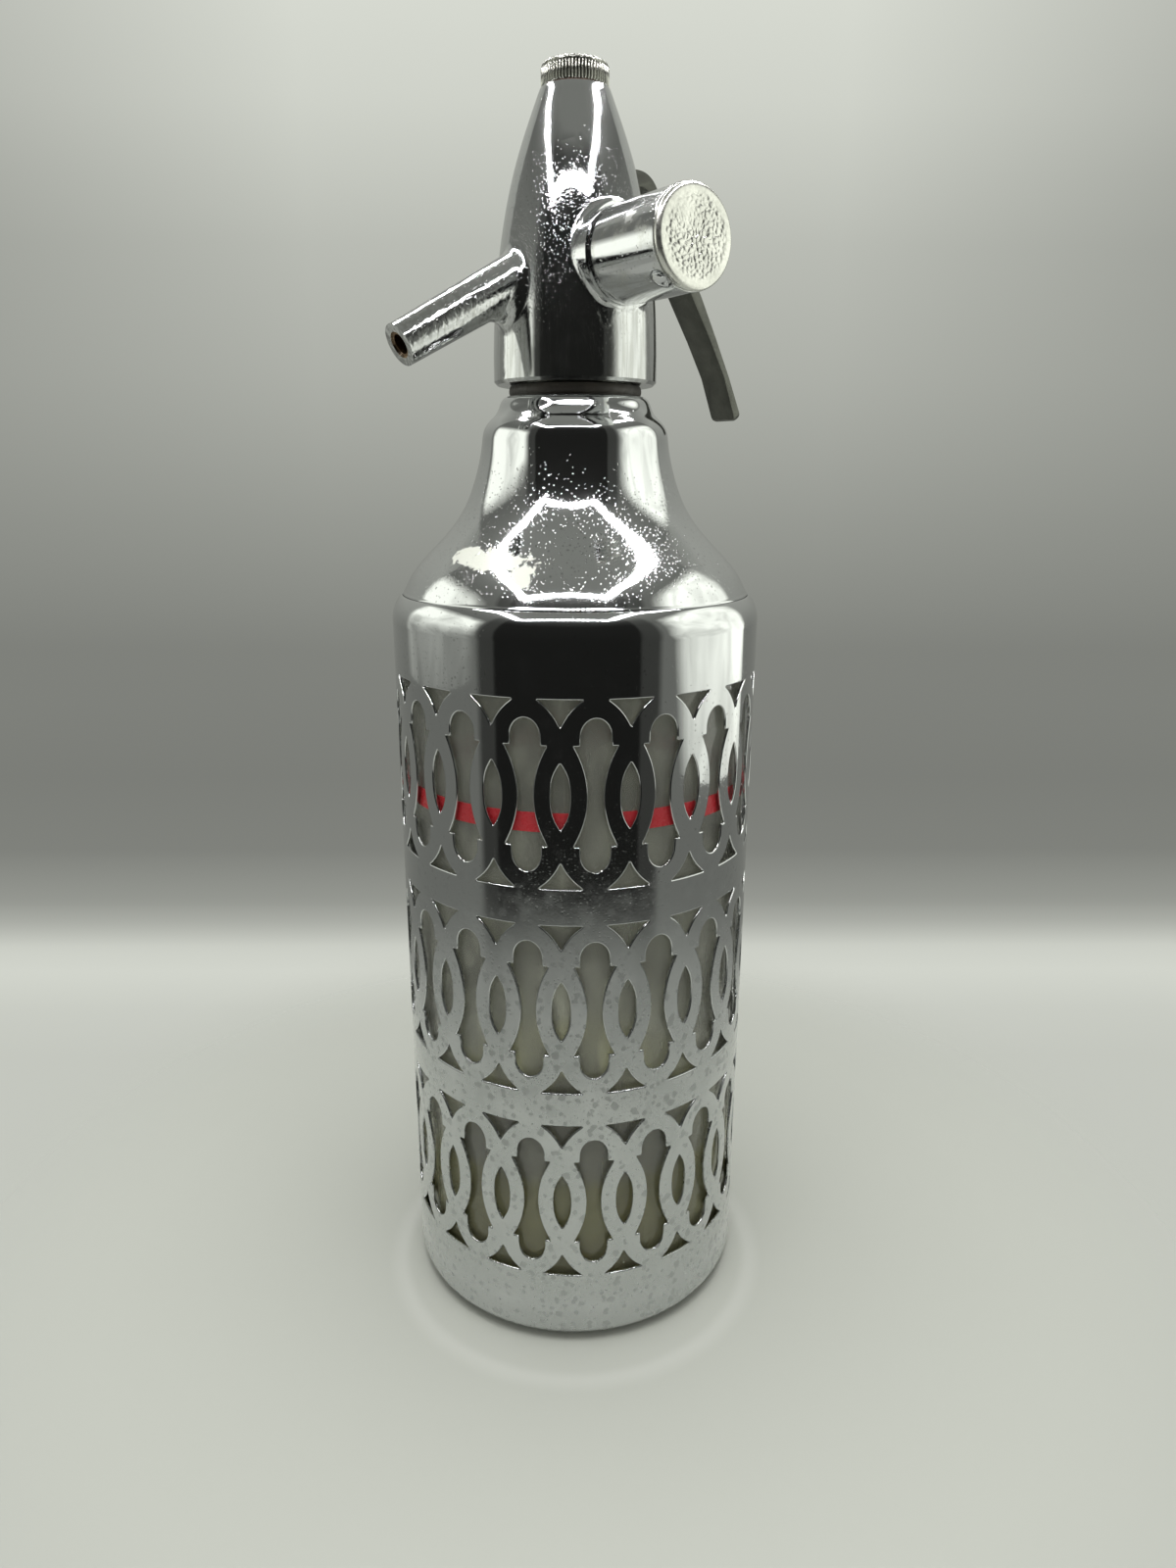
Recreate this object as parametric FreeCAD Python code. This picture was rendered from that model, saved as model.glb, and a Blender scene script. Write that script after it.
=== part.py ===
"""Soda siphon: glass bottle in a pierced plated jacket, cast head with side-loaded gas charger.

Frame: millimetres, +Z up along the bottle, origin at the centre of the resting face.
The spout points to -X, the lever to +X and the charger holder to -Y.
"""
import FreeCAD, Part
import math
import os

V = FreeCAD.Vector
UP = V(0, 0, 1)

# ---- Driving dimensions (mm) -------------------------------------------------
JACKET_R = 57.5          # outside radius of the pierced can
SHEET = 0.8              # plated sheet thickness of can and shoulder
JACKET_STRAIGHT_TOP = 230.0
SEAM_Z = 238.8           # where can and shoulder meet
SEAM_R = 54.4
FOOT_R = 6.0             # corner radius at the foot
FLOOR_GAP = 0.6          # the rolled foot stays off the floor; the base plate carries the weight

COLUMNS = 18             # pattern repeats round the can
ROW_Z = (54.1, 120.85, 187.6)
PATTERN_TURN = -39.24    # azimuth of the first lens column, degrees from -Y towards +X
LENS_HALF = (2.8, 9.8)
BONE_TIP = 22.5          # half height of the dog-bone opening
BONE_LOBE = 4.4
BONE_EAR = (6.3, 14.6)   # half width at the ears, and their height above the row's middle
BONE_EAR_RISE = 0.15
BONE_WAIST = 2.25
WEDGE_BASE = (6.5, 27.65)
WEDGE_APEX = 19.75

GLASS_R = 55.4
GLASS_WALL = 5.0
GLASS_FLOOR = 4.6        # height of the bottle's underside
GLASS_BOTTOM = 7.0       # thickness of its bottom
GLASS_CORNER = 9.0
PUNT_DEPTH = 3.0         # hollow in the underside
NECK_R = 13.6            # glass neck, outside
NECK_BORE = 10.0
LIP_R = 14.8
LIP_Z = 304.0

FILL_LINE_Z = (176.6, 182.4)
FILL_LINE_THICK = 0.25
FILL_LINE_GAP = (-34.0, -24.0)   # azimuths between which the line is broken

RING_THREAD_R = 17.6     # crest radius of the neck ring's screw
RING_BORE = 15.1
RING_LOW = 283.0
RING_TOP = 305.0
THREAD_LOW = 297.2
THREAD_PITCH = 1.5
THREAD_TURNS = 5
SOCKET_R = 17.9
HEAD_BOTTOM = 299.6
CEILING_Z = 310.3
HEAD_TOP = 377.0

CHARGER_Z = 331.9        # axis of the gas charger
CHARGER_R = 9.3
CHARGER_NECK_R = 4.4
CHARGER_LENGTH = 65.0
CHARGER_END = 50.5       # round end of the charger, measured out from the head's axis
CHARGER_NECK_BORE = 4.9
GAS_WAY_R = 0.9
CHAMBER_R = 9.8
BOSS_R = 13.6
BOSS_END = 24.0
SPIGOT_R = 11.2
SPIGOT_END = 37.0
SLEEVE_R = 12.75
SLEEVE_START = 25.0
SLEEVE_END = 51.5
END_CAP_FACE = 53.4

SPOUT_Z = 338.4          # height at which the spout's axis meets the head's axis
SPOUT_DROP = 28.4        # degrees below level
SPOUT_LENGTH = 65.5
SPOUT_R = (7.2, 5.8)     # at the root and at the mouth
SPOUT_BORE = 3.0
NOZZLE_START = SPOUT_LENGTH - 9.0
NOZZLE_R = 3.58
SPOUT_FILLET = 4.0
BOSS_FILLET = 2.5

VALVE_X = -14.2
SEAT_Z = 322.0
PACKING_Z = 337.0
NUT_Z = 341.0
PIVOT = (12.5, 350.0)    # lever pivot, x and z
PIVOT_PIN_R = 1.5
LEVER_WIDTH = 11.0
ARM_WIDTH = 6.0
LEVER_TIP = (62.0, 291.4)
TIP_SLOPE = 63.9         # degrees below level along the handle's last stretch
TIP_ROUND = 2.6

CAP_R = 9.6
CAP_TOP = 383.5
CAP_RIBS = 64
CAP_SCREW_R = 6.95
CAP_BORE_R = 7.0
CAP_BORE_Z = 368.2

RUNNING = 0.05           # radial clearance of pins and stems in their bores


# ---- Helpers -----------------------------------------------------------------
def profile(r, z):
    """Point of a turned outline, from its radius and height."""
    return V(r, 0, z)


def path_edges(start, steps, place=profile):
    """Edges from start through steps; a step is (a, b), or ((mid), (end)) for an arc."""
    edges = []
    here = place(*start)
    for step in steps:
        if isinstance(step[0], tuple):
            end = place(*step[1])
            edges.append(Part.Arc(here, place(*step[0]), end).toShape())
        else:
            end = place(*step)
            edges.append(Part.LineSegment(here, end).toShape())
        here = end
    return edges


def loop_edges(start, steps, place=profile):
    """The same path, closed with a straight edge."""
    last = steps[-1]
    end = last[1] if isinstance(last[0], tuple) else last
    closing = [] if end == start else [start]
    return path_edges(start, list(steps) + closing, place)


def revolved(edges):
    return Part.Face(Part.Wire(edges)).revolve(V(0, 0, 0), UP, 360)


def turned(start, *steps):
    """Solid of revolution round Z from an outline in radius and height."""
    return revolved(loop_edges(start, steps))


def ring(r_in, r_out, low, high):
    outer = Part.makeCylinder(r_out, high - low, V(0, 0, low))
    if r_in <= 0:
        return outer
    return outer.cut(Part.makeCylinder(r_in, high - low + 2, V(0, 0, low - 1)))


def at(shape, x, y):
    shape.translate(V(x, y, 0))
    return shape


def outward(shape):
    """Lay a solid built up Z from the head's axis along the charger axis, towards -Y."""
    shape.rotate(V(0, 0, 0), V(1, 0, 0), 90)
    shape.translate(V(0, 0, CHARGER_Z))
    return shape


def box(low, high):
    size = V(*high) - V(*low)
    return Part.makeBox(size.x, size.y, size.z, V(*low))


def azimuth_turn(shape, degrees):
    """Turn a copy round Z; azimuth 0 is -Y and grows towards +X."""
    copy = shape.copy()
    copy.rotate(V(0, 0, 0), UP, degrees)
    return copy


def spline_edge(points, place=profile):
    curve = Part.BSplineCurve()
    curve.interpolate([place(*point) for point in points])
    return curve.toShape()


def offset_outline(points, distance):
    """Outline points moved inwards, square to the curve through them."""
    moved = []
    for i, (r, z) in enumerate(points):
        before = points[max(i - 1, 0)]
        after = points[min(i + 1, len(points) - 1)]
        run = (after[0] - before[0], after[1] - before[1])
        length = math.hypot(*run)
        moved.append((r - distance * run[1] / length, z + distance * run[0] / length))
    return moved


# ---- Glass bottle and what holds it ------------------------------------------
GLASS_SHOULDER = [(55.4, 222.0), (53.6, 231.5), (48.6, 241.5), (41.0, 250.5), (32.6, 258.0),
                  (24.4, 264.0), (18.0, 270.5), (14.6, 277.0), (NECK_R, 282.5)]


def bottle_solid(shoulder, body_r, low, corner, neck_r, top):
    """Bottle shape filled solid: flat bottom, rounded corner, straight side, shoulder, neck."""
    diagonal = corner * (1 - math.cos(math.pi / 4))
    edges = path_edges((0, low), [(body_r - corner, low),
                                  ((body_r - diagonal, low + diagonal), (body_r, low + corner)),
                                  (body_r, shoulder[0][1])])
    edges.append(spline_edge(shoulder))
    edges += path_edges(shoulder[-1], [(neck_r, top), (0, top), (0, low)])
    return revolved(edges)


def make_glass_bottle():
    body = bottle_solid(GLASS_SHOULDER, GLASS_R, GLASS_FLOOR, GLASS_CORNER, NECK_R, LIP_Z)
    lip = turned((NECK_R - 1, LIP_Z - 5.4), (NECK_R, LIP_Z - 5.4), (LIP_R, LIP_Z - 4.2),
                 (LIP_R, LIP_Z - 0.8), (LIP_R - 0.8, LIP_Z), (NECK_R - 1, LIP_Z))
    inside_r = GLASS_R - GLASS_WALL
    inner_points = offset_outline(GLASS_SHOULDER, GLASS_WALL)
    inner_points[0] = (inside_r, GLASS_SHOULDER[0][1])
    inner_points[-2:] = [(NECK_BORE + 0.5, 276.5), (NECK_BORE, 283.0)]
    hollow = bottle_solid(inner_points, inside_r, GLASS_FLOOR + GLASS_BOTTOM, GLASS_CORNER - 1,
                          NECK_BORE, LIP_Z + 1)
    punt = Part.makeCone(30, 14, PUNT_DEPTH, V(0, 0, GLASS_FLOOR))
    return body.fuse(lip).cut(hollow).cut(punt).removeSplitter()


def make_fill_line():
    """Fired enamel line round the glass, broken over a few degrees."""
    low, high = FILL_LINE_Z
    band = ring(GLASS_R, GLASS_R + FILL_LINE_THICK, low, high)
    start, stop = FILL_LINE_GAP
    wedge = Part.makeCylinder(JACKET_R, high - low + 2, V(0, 0, low - 1), UP, stop - start)
    wedge.rotate(V(0, 0, 0), UP, start - 90)
    return band.cut(wedge)


def make_base_plate():
    """Pressed foot plate: its flat rests on the table, its step grips the can's rolled edge."""
    return turned((0, 0), (50.6, 0), (51.0, 0.4), (51.0, 1.5), (52.2, 1.5), (54.3, 2.6), (54.3, 3.5),
                  (51.8, 2.4), (0, 2.4))


def make_base_pad():
    pad = ring(0, 48.0, 2.4, GLASS_FLOOR)
    return pad.cut(ring(0, 16.0, 0, 10))


# ---- Pierced can -------------------------------------------------------------
CUT_START = JACKET_R + 4.0   # an opening's prism starts outside the can and ends inside it
CUT_DEPTH = 12.0


def front(u, z):
    """Point of an opening's outline, drawn flat in front of the can."""
    return V(u, -CUT_START, z)


def cutter_from(edges):
    return Part.Face(Part.Wire(edges)).extrude(V(0, CUT_DEPTH, 0))


def lens_cutter(row):
    """Pointed oval opening."""
    wide, tall = LENS_HALF
    bow_u, bow_z = 0.62 * wide, 0.68 * tall
    side = [(0, tall), (bow_u, bow_z), (wide, 0), (bow_u, -bow_z), (0, -tall)]
    return cutter_from([spline_edge([(s * u, row + z) for u, z in side], front) for s in (1, -1)])


def bone_cutter(row):
    """Dog-bone opening: two domed lobes, a pair of pointed ears on each, a narrow waist."""
    ear_u, ear_z = BONE_EAR
    tip_z = ear_z + BONE_EAR_RISE
    dome_z = BONE_TIP - 1.25 * BONE_LOBE
    dome = [(BONE_LOBE, dome_z), (0.74 * BONE_LOBE, BONE_TIP - 0.34 * BONE_LOBE), (0, BONE_TIP)]
    edges = []
    for side in (1, -1):
        for end in (1, -1):
            edges.append(spline_edge([(side * u, row + end * z) for u, z in dome], front))
            ledge = [(side * BONE_LOBE, row + end * ear_z), (side * ear_u, row + end * tip_z)]
            edges += path_edges((side * BONE_LOBE, row + end * dome_z), ledge, front)
        waist = ((side * BONE_WAIST, row), (side * ear_u, row - tip_z))
        edges += path_edges((side * ear_u, row + tip_z), [waist], front)
    return cutter_from(Part.__sortEdges__(edges))


def wedge_cutter(row, side):
    """Three-cornered opening with two hollow sides; side is +1 above the row and -1 below."""
    base_u, base_z = WEDGE_BASE
    apex = (0, row + side * WEDGE_APEX)
    base = row + side * base_z
    bow_u = 0.33 * base_u
    bow_z = row + side * (WEDGE_APEX + 0.48 * (base_z - WEDGE_APEX))
    outline = [((bow_u, bow_z), (base_u, base)), (-base_u, base), ((-bow_u, bow_z), apex)]
    return cutter_from(path_edges(apex, outline, front))


def can_blank():
    diagonal = FOOT_R * (1 - math.cos(math.pi / 4))
    inner = JACKET_R - SHEET
    inner_diagonal = diagonal + SHEET * math.cos(math.pi / 4)
    low = FLOOR_GAP
    corner_r = JACKET_R - FOOT_R
    corner_z = low + FOOT_R
    return turned((corner_r, low),
                  ((JACKET_R - diagonal, low + diagonal), (JACKET_R, corner_z)),
                  (JACKET_R, JACKET_STRAIGHT_TOP),
                  ((JACKET_R - 0.75, JACKET_STRAIGHT_TOP + 5.0), (SEAM_R, SEAM_Z)),
                  (SEAM_R - 0.72, SEAM_Z - 0.36),
                  ((inner - 0.75, JACKET_STRAIGHT_TOP + 4.7), (inner, JACKET_STRAIGHT_TOP)),
                  (inner, corner_z),
                  ((JACKET_R - inner_diagonal, low + inner_diagonal), (corner_r, low + SHEET)))


def make_jacket_body():
    pitch = 360.0 / COLUMNS
    cutters = []
    for row in ROW_Z:
        aligned = [lens_cutter(row), wedge_cutter(row, 1), wedge_cutter(row, -1)]
        bone = bone_cutter(row)
        for column in range(COLUMNS):
            turn = PATTERN_TURN + column * pitch
            cutters += [azimuth_turn(one, turn) for one in aligned]
            cutters.append(azimuth_turn(bone, turn + pitch / 2))
    return can_blank().cut(Part.makeCompound(cutters))


# ---- Shoulder, neck ring and gasket ------------------------------------------
BELL = [(53.6, 239.2), (52.3, 242.3), (48.9, 247.0), (43.9, 252.5), (38.3, 258.0), (34.8, 263.0),
        (32.1, 268.2), (29.9, 275.5), (28.4, 283.0)]
COLLAR = [(28.2, 285.0), (27.5, 287.3), (25.9, 289.5), (24.0, 291.2), (23.1, 293.4), (22.3, 295.0),
          (21.2, 296.2), (19.6, 296.5)]
SKIRT_LOW = 235.0        # the skirt stands inside the can from here
SKIRT_TOP = 238.0


def make_jacket_shoulder():
    """Spun shoulder bell: a skirt tucked inside the can, a concave flank and a stepped collar."""
    outer = BELL + COLLAR
    inner = offset_outline(outer, SHEET)
    inner[0] = (BELL[0][0] - SHEET, BELL[0][1])
    lip_r = RING_THREAD_R + 0.4
    skirt_r = outer[0][0] - 0.2
    edges = [spline_edge(outer)]
    edges += path_edges(outer[-1], [(lip_r, outer[-1][1]), (lip_r, inner[-1][1]), inner[-1]])
    edges.append(spline_edge(inner[::-1]))
    edges += path_edges(inner[0], [(inner[0][0], SKIRT_LOW), (skirt_r, SKIRT_LOW),
                                   (skirt_r, SKIRT_TOP), outer[0]])
    return revolved(edges)


def make_shoulder_cushion():
    """Soft ring between the glass shoulder and the bell."""
    return turned((37.6, 254.0), (41.2, 250.8), (42.3, 252.0), (38.7, 255.3))


def make_neck_ring():
    """Screwed ring drawn up on the glass lip; its flange traps the bell under the gasket."""
    tube = ring(RING_BORE, RING_THREAD_R - 0.7, RING_LOW, RING_TOP)
    lower_lip = ring(NECK_R + 0.3, RING_BORE + 0.2, RING_LOW, RING_LOW + 2.6)
    flange = ring(RING_THREAD_R - 1.2, 19.8, 293.3, 295.6)
    shape = tube.fuse(lower_lip).fuse(flange)
    root = RING_THREAD_R - 1.0
    for turn in range(THREAD_TURNS):
        low = THREAD_LOW + THREAD_PITCH * turn
        shape = shape.fuse(turned((root, low), (RING_THREAD_R, low + 0.5),
                                  (RING_THREAD_R, low + 0.7), (root, low + 1.2)))
    return shape.removeSplitter()


def make_neck_collet():
    """Split ring under the glass lip, in two halves."""
    whole = ring(NECK_R + 0.1, RING_BORE - 0.1, RING_LOW + 2.7, LIP_Z - 5.6)
    return whole.cut(box((-0.4, -20, RING_LOW), (0.4, 20, LIP_Z)))


def make_head_gasket():
    return turned((RING_THREAD_R + 0.2, 296.5), (19.5, 296.5), ((19.9, 297.9), (19.5, 299.3)),
                  (RING_THREAD_R + 0.2, 299.3))


# ---- Dip tube group ----------------------------------------------------------
def make_neck_seal():
    return ring(NECK_BORE, 14.5, LIP_Z, 306.0)


def gas_holes(low, high, radius=1.1, circle=6.6, count=3):
    holes = []
    for i in range(count):
        angle = 2 * math.pi * i / count
        hole = ring(0, radius, low, high)
        holes.append(at(hole, circle * math.cos(angle), circle * math.sin(angle)))
    return Part.makeCompound(holes)


def make_tube_plug():
    flange = ring(0, 14.6, 306.0, 308.0)
    hub = ring(0, 9.5, 290.0, 306.0)
    stub = ring(0, 5.2, 283.0, 290.0)
    plug = flange.fuse(hub).fuse(stub).cut(ring(0, 3.05, 280, 310))
    return plug.cut(gas_holes(289, 309)).removeSplitter()


def make_dip_tube():
    """Straight riser, its foot cut aslant so that it can't seal on the bottle's floor."""
    tube = ring(2.1, 3.0, 15.0, 309.8)
    slant = box((-8, -8, -10), (8, 8, 0))
    slant.rotate(V(0, 0, 0), V(0, 1, 0), 35)
    slant.translate(V(0, 0, 17.0))
    return tube.cut(slant)


def make_check_flap():
    return ring(5.3, 9.2, 289.0, 289.95)


def make_tube_nut():
    """Hexagon nut under the flap."""
    points = [V(8.2 * math.cos(math.radians(60 * i)), 8.2 * math.sin(math.radians(60 * i)), 284.5)
              for i in range(7)]
    nut = Part.Face(Part.makePolygon(points)).extrude(V(0, 0, 3.0))
    collar = ring(0, 6.0, 287.5, 288.95)
    return nut.fuse(collar).cut(ring(0, 5.25, 280, 292)).removeSplitter()


def make_head_washer():
    washer = ring(3.1, 14.6, 308.0, 310.0)
    return washer.cut(gas_holes(307, 311))


# ---- Head casting ------------------------------------------------------------
CONE = [(24.3, 306.0), (24.2, 313.0), (23.7, 320.0), (22.5, 330.5), (20.9, 342.9), (19.2, 350.6),
        (16.7, 358.2), (15.2, 363.2), (13.7, 368.1), (11.2, 374.6), (10.0, HEAD_TOP)]
FOOT_BEVEL = 0.9
SPOUT_DIR = V(-math.cos(math.radians(SPOUT_DROP)), 0, -math.sin(math.radians(SPOUT_DROP)))


def cone_solid(inset, low, high):
    """The head's turned outline, or a smaller copy of it, between two heights."""
    points = offset_outline(CONE, inset) if inset else CONE
    top, bottom = points[-1], points[0]
    edges = [spline_edge(points)]
    edges += path_edges(top, [(0, top[1]), (0, HEAD_BOTTOM), (bottom[0] - FOOT_BEVEL, HEAD_BOTTOM),
                              (bottom[0], HEAD_BOTTOM + FOOT_BEVEL), bottom])
    return revolved(edges).common(ring(0, JACKET_R, low, high))


def spout_solid(start, stop, root_r, mouth_r):
    """Cone or cylinder along the spout's axis between two distances from the head's axis."""
    base = V(0, 0, SPOUT_Z) + SPOUT_DIR * start
    if abs(root_r - mouth_r) < 1e-9:
        return Part.makeCylinder(root_r, stop - start, base, SPOUT_DIR)
    return Part.makeCone(root_r, mouth_r, stop - start, base, SPOUT_DIR)


def head_outside():
    """Cone, spout and charger boss in one, with the joins filled as a casting's are."""
    cone = cone_solid(0, HEAD_BOTTOM, HEAD_TOP)
    spout = spout_solid(6, SPOUT_LENGTH, SPOUT_R[0], SPOUT_R[1])
    boss = outward(ring(0, BOSS_R, 8, BOSS_END))
    shape = cone.fuse(spout).removeSplitter()
    shape = fillet_inside(shape, SPOUT_FILLET, (-30, -12, 312), (-14, 12, 352))
    shape = shape.fuse(boss).removeSplitter()
    return fillet_inside(shape, BOSS_FILLET, (-18, -23.9, 312), (18, -8, 352))


def fillet_inside(shape, radius, low, high):
    """Round the edges that lie wholly between two corners of a box."""
    room = FreeCAD.BoundBox(V(*low), V(*high))
    return shape.makeFillet(radius, [edge for edge in shape.Edges if room.isInside(edge.BoundBox)])


def head_hollows():
    """Everything that is bored or milled out of the casting, group by group."""
    return neck_hollows() + charger_hollows() + valve_hollows() + lever_hollows()


def neck_hollows():
    """Socket for the neck ring, gas gallery in its ceiling, and the way for water to the valve."""
    socket = ring(0, SOCKET_R, HEAD_BOTTOM - 1, CEILING_Z)
    gallery = ring(5.0, 8.2, CEILING_Z - 1, CEILING_Z + 1.2)
    water_port = ring(0, 2.2, CEILING_Z - 1, CEILING_Z + 5.7)
    duct = Part.makeCylinder(1.8, -VALVE_X, V(0, 0, CEILING_Z + 3.9), V(-1, 0, 0))
    return [socket, gallery, water_port, duct]


def charger_hollows():
    """Chamber round the charger, its neck's bore, and the gas way down to the gallery."""
    chamber = outward(ring(0, CHAMBER_R, 3.0, SPIGOT_END + 5))
    shoulder = outward(Part.makeCone(CHARGER_NECK_BORE, CHAMBER_R, 8.0, V(0, 0, -5.0)))
    neck_bore = outward(ring(0, CHARGER_NECK_BORE, -20.0, -4.9))
    gas_start = V(0, 19.3, CHARGER_Z)
    gas_run = V(0, 6.8, CEILING_Z) - gas_start
    gas_way = Part.makeCylinder(GAS_WAY_R, gas_run.Length, gas_start, gas_run)
    return [chamber, shoulder, neck_bore, gas_way]


def valve_hollows():
    """Stepped bore for seat, stem, packing and nut, and the spout's bore with its nozzle seat."""
    steps = [(3.4, 312.5, SEAT_Z + 2.0), (3.0, SEAT_Z + 1.9, PACKING_Z + 0.1),
             (3.4, PACKING_Z, NUT_Z + 0.1), (4.1, NUT_Z, 346.0)]
    bores = [at(ring(0, radius, low, high), VALVE_X, 0) for radius, low, high in steps]
    valve_to_mouth = -VALVE_X / math.cos(math.radians(SPOUT_DROP))
    bores.append(spout_solid(valve_to_mouth, SPOUT_LENGTH + 1, SPOUT_BORE, SPOUT_BORE))
    bores.append(spout_solid(NOZZLE_START, SPOUT_LENGTH + 1, NOZZLE_R + 0.02, NOZZLE_R + 0.02))
    return bores


def lever_hollows():
    """Room for the lever's arm, its slot, the spring's and the cap's bores, and the pin's hole."""
    arm_room = box((-17.2, -4.3, 343.6), (12.0, 4.3, 356.6)).common(cone_solid(1.5, 340, 360))
    half_slot = LEVER_WIDTH / 2 + 0.45
    lever_slot = box((4.0, -half_slot, 344.9), (34.0, half_slot, 360.0))
    spring_bore = ring(0, 5.7, 350.0, CAP_BORE_Z + 0.1)
    cap_bore = ring(0, CAP_BORE_R, CAP_BORE_Z, HEAD_TOP + 1)
    pin_bore = Part.makeCylinder(PIVOT_PIN_R + RUNNING, 28.0, V(PIVOT[0], -11.0, PIVOT[1]), V(0, 1, 0))
    return [arm_room, lever_slot, spring_bore, cap_bore, pin_bore]


def make_head_casting():
    shape = head_outside()
    spigot = outward(ring(0, SPIGOT_R, BOSS_END - 1, SPIGOT_END))
    shape = shape.fuse(spigot)
    for hollow in head_hollows():
        shape = shape.cut(hollow)
    return shape.removeSplitter()


def make_spout_nozzle():
    tube = spout_solid(NOZZLE_START, SPOUT_LENGTH - 0.5, NOZZLE_R, NOZZLE_R)
    return tube.cut(spout_solid(NOZZLE_START - 1, SPOUT_LENGTH + 1, 2.7, 2.7))


# ---- Valve, lever and spring -------------------------------------------------
STEM_R = 1.2
LIFT_ROOM = 0.4          # free play between lever and stem, and lever and plunger


def make_valve_seat():
    seat = turned((1.9, SEAT_Z), (3.38, SEAT_Z), (3.38, SEAT_Z + 1.6), (2.6, SEAT_Z + 1.6),
                  (2.3, SEAT_Z + 2.0), (1.9, SEAT_Z + 2.0))
    return at(seat, VALVE_X, 0)


def make_valve_plug():
    """Rubber disc in the stem's cup."""
    return at(ring(0.55, 2.3, SEAT_Z + 2.3, SEAT_Z + 4.0), VALVE_X, 0)


def make_valve_stem():
    """Stem with a tail rivet through the rubber, a backing collar and a button for the lever."""
    foot = SEAT_Z + 2.3
    shape = ring(0, 0.5, foot, foot + 2.0)
    shape = shape.fuse(ring(0, 2.4, foot + 1.7, foot + 2.9))
    shape = shape.fuse(ring(0, STEM_R, foot + 2.8, 350.0))
    shape = shape.fuse(turned((0, 349.2), (2.1, 349.2), (2.1, 350.0), (1.7, 350.4), (0, 350.4)))
    return at(shape.removeSplitter(), VALVE_X, 0)


def make_stem_packing():
    return at(ring(STEM_R + RUNNING, 3.38, PACKING_Z + 0.05, NUT_Z - 0.1), VALVE_X, 0)


def make_packing_nut():
    top = NUT_Z + 4.0
    nut = turned((STEM_R + RUNNING, NUT_Z), (4.05, NUT_Z), (4.05, top - 0.4), (3.6, top),
                 (STEM_R + RUNNING, top))
    slot = box((-0.5, -6, top - 1.0), (0.5, 6, top + 1.0))
    return at(nut.cut(slot), VALVE_X, 0)


def prism(width, start, *steps):
    """Slab of a side outline in x and z, centred on the lever's plane."""
    edges = loop_edges(start, steps, lambda x, z: V(x, -width / 2, z))
    return Part.Face(Part.Wire(edges)).extrude(V(0, width, 0))


def make_lever():
    """Cast lever: forked nose on the stem, eye on the pin, and a flat handle bent downwards."""
    x, z = PIVOT
    eye = Part.makeCylinder(4.0, LEVER_WIDTH, V(x, -LEVER_WIDTH / 2, z), V(0, 1, 0))
    arm = prism(ARM_WIDTH, (-15.6, 346.7), (-15.6, 348.8), (-11.6, 348.8), (-9.4, 350.2), (-4.0, 353.6),
                (2.0, 354.2), (9.5, 354.6), (x, 353.9), (x, 346.1), (9.0, 347.0), (0.0, 348.8),
                (-9.0, 346.8))
    handle = prism(LEVER_WIDTH, (9.4, 352.6), ((11.6, 357.2), (15.6, 359.2)), (19.4, 359.2),
                   ((23.3, 357.9), (25.9, 355.0)), (44.6, 327.4), (51.2, 316.0), (57.5, 304.6),
                   (62.8, 293.8), ((62.9, 292.2), (61.4, 291.6)), (60.6, 292.0), (55.2, 304.9),
                   (48.6, 315.6), (41.0, 327.0), (23.6, 352.4), ((21.0, 354.9), (18.2, 354.6)),
                   (16.2, 351.6), (x, 350.0))
    shape = eye.fuse(arm).fuse(handle.cut(tip_corner(1)).cut(tip_corner(-1)))
    fork = box((-17, -STEM_R - 0.35, 340), (-14.2, STEM_R + 0.35, 352))
    fork = fork.fuse(at(ring(0, STEM_R + 0.35, 340, 349.0), VALVE_X, 0))
    shape = shape.cut(fork)
    bore = Part.makeCylinder(PIVOT_PIN_R + RUNNING, 20, V(x, -10, z), V(0, 1, 0))
    return shape.cut(bore).removeSplitter()


def tip_corner(side):
    """Waste outside one rounded corner of the handle's tip, seen square to the handle."""
    half = LEVER_WIDTH / 2
    waste = box((-TIP_ROUND, half - TIP_ROUND, -6), (3, half + 1, 6))
    waste = waste.cut(Part.makeCylinder(TIP_ROUND, 12, V(-TIP_ROUND, half - TIP_ROUND, -6)))
    if side < 0:
        waste.rotate(V(0, 0, 0), V(1, 0, 0), 180)
    waste.rotate(V(0, 0, 0), V(0, 1, 0), TIP_SLOPE)
    waste.translate(V(LEVER_TIP[0], 0, LEVER_TIP[1]))
    return waste


def make_lever_pin():
    """Plain pin driven in from the back, flush with the casting."""
    return Part.makeCylinder(PIVOT_PIN_R, 24.4, V(PIVOT[0], -10.5, PIVOT[1]), V(0, 1, 0))


PLUNGER_FACE = 354.2 + LIFT_ROOM
SPRING_R = 4.1
WIRE_R = 0.45
SPRING_TOP = 368.5


def make_spring_plunger():
    head = ring(0, 5.4, PLUNGER_FACE, PLUNGER_FACE + 2.0)
    guide = ring(0, 2.6, PLUNGER_FACE + 1.5, 363.0)
    return head.fuse(guide).removeSplitter()


def make_valve_spring():
    """Helical spring between plunger and cap."""
    low = PLUNGER_FACE + 2.0 + WIRE_R + 0.05
    high = SPRING_TOP - WIRE_R - 0.05
    path = Part.makeHelix((high - low) / 5.0, high - low, SPRING_R)
    path.translate(V(0, 0, low))
    start = path.Edges[0].valueAt(path.Edges[0].FirstParameter)
    section = Part.Wire([Part.makeCircle(WIRE_R, start, V(0, 1, 0))])
    return Part.Wire(path.Edges).makePipeShell([section], True, True)


# ---- Knurled cap -------------------------------------------------------------
def make_cap_washer():
    return ring(CAP_BORE_R + 0.2, 9.2, HEAD_TOP + 0.05, HEAD_TOP + 0.4)


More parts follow.
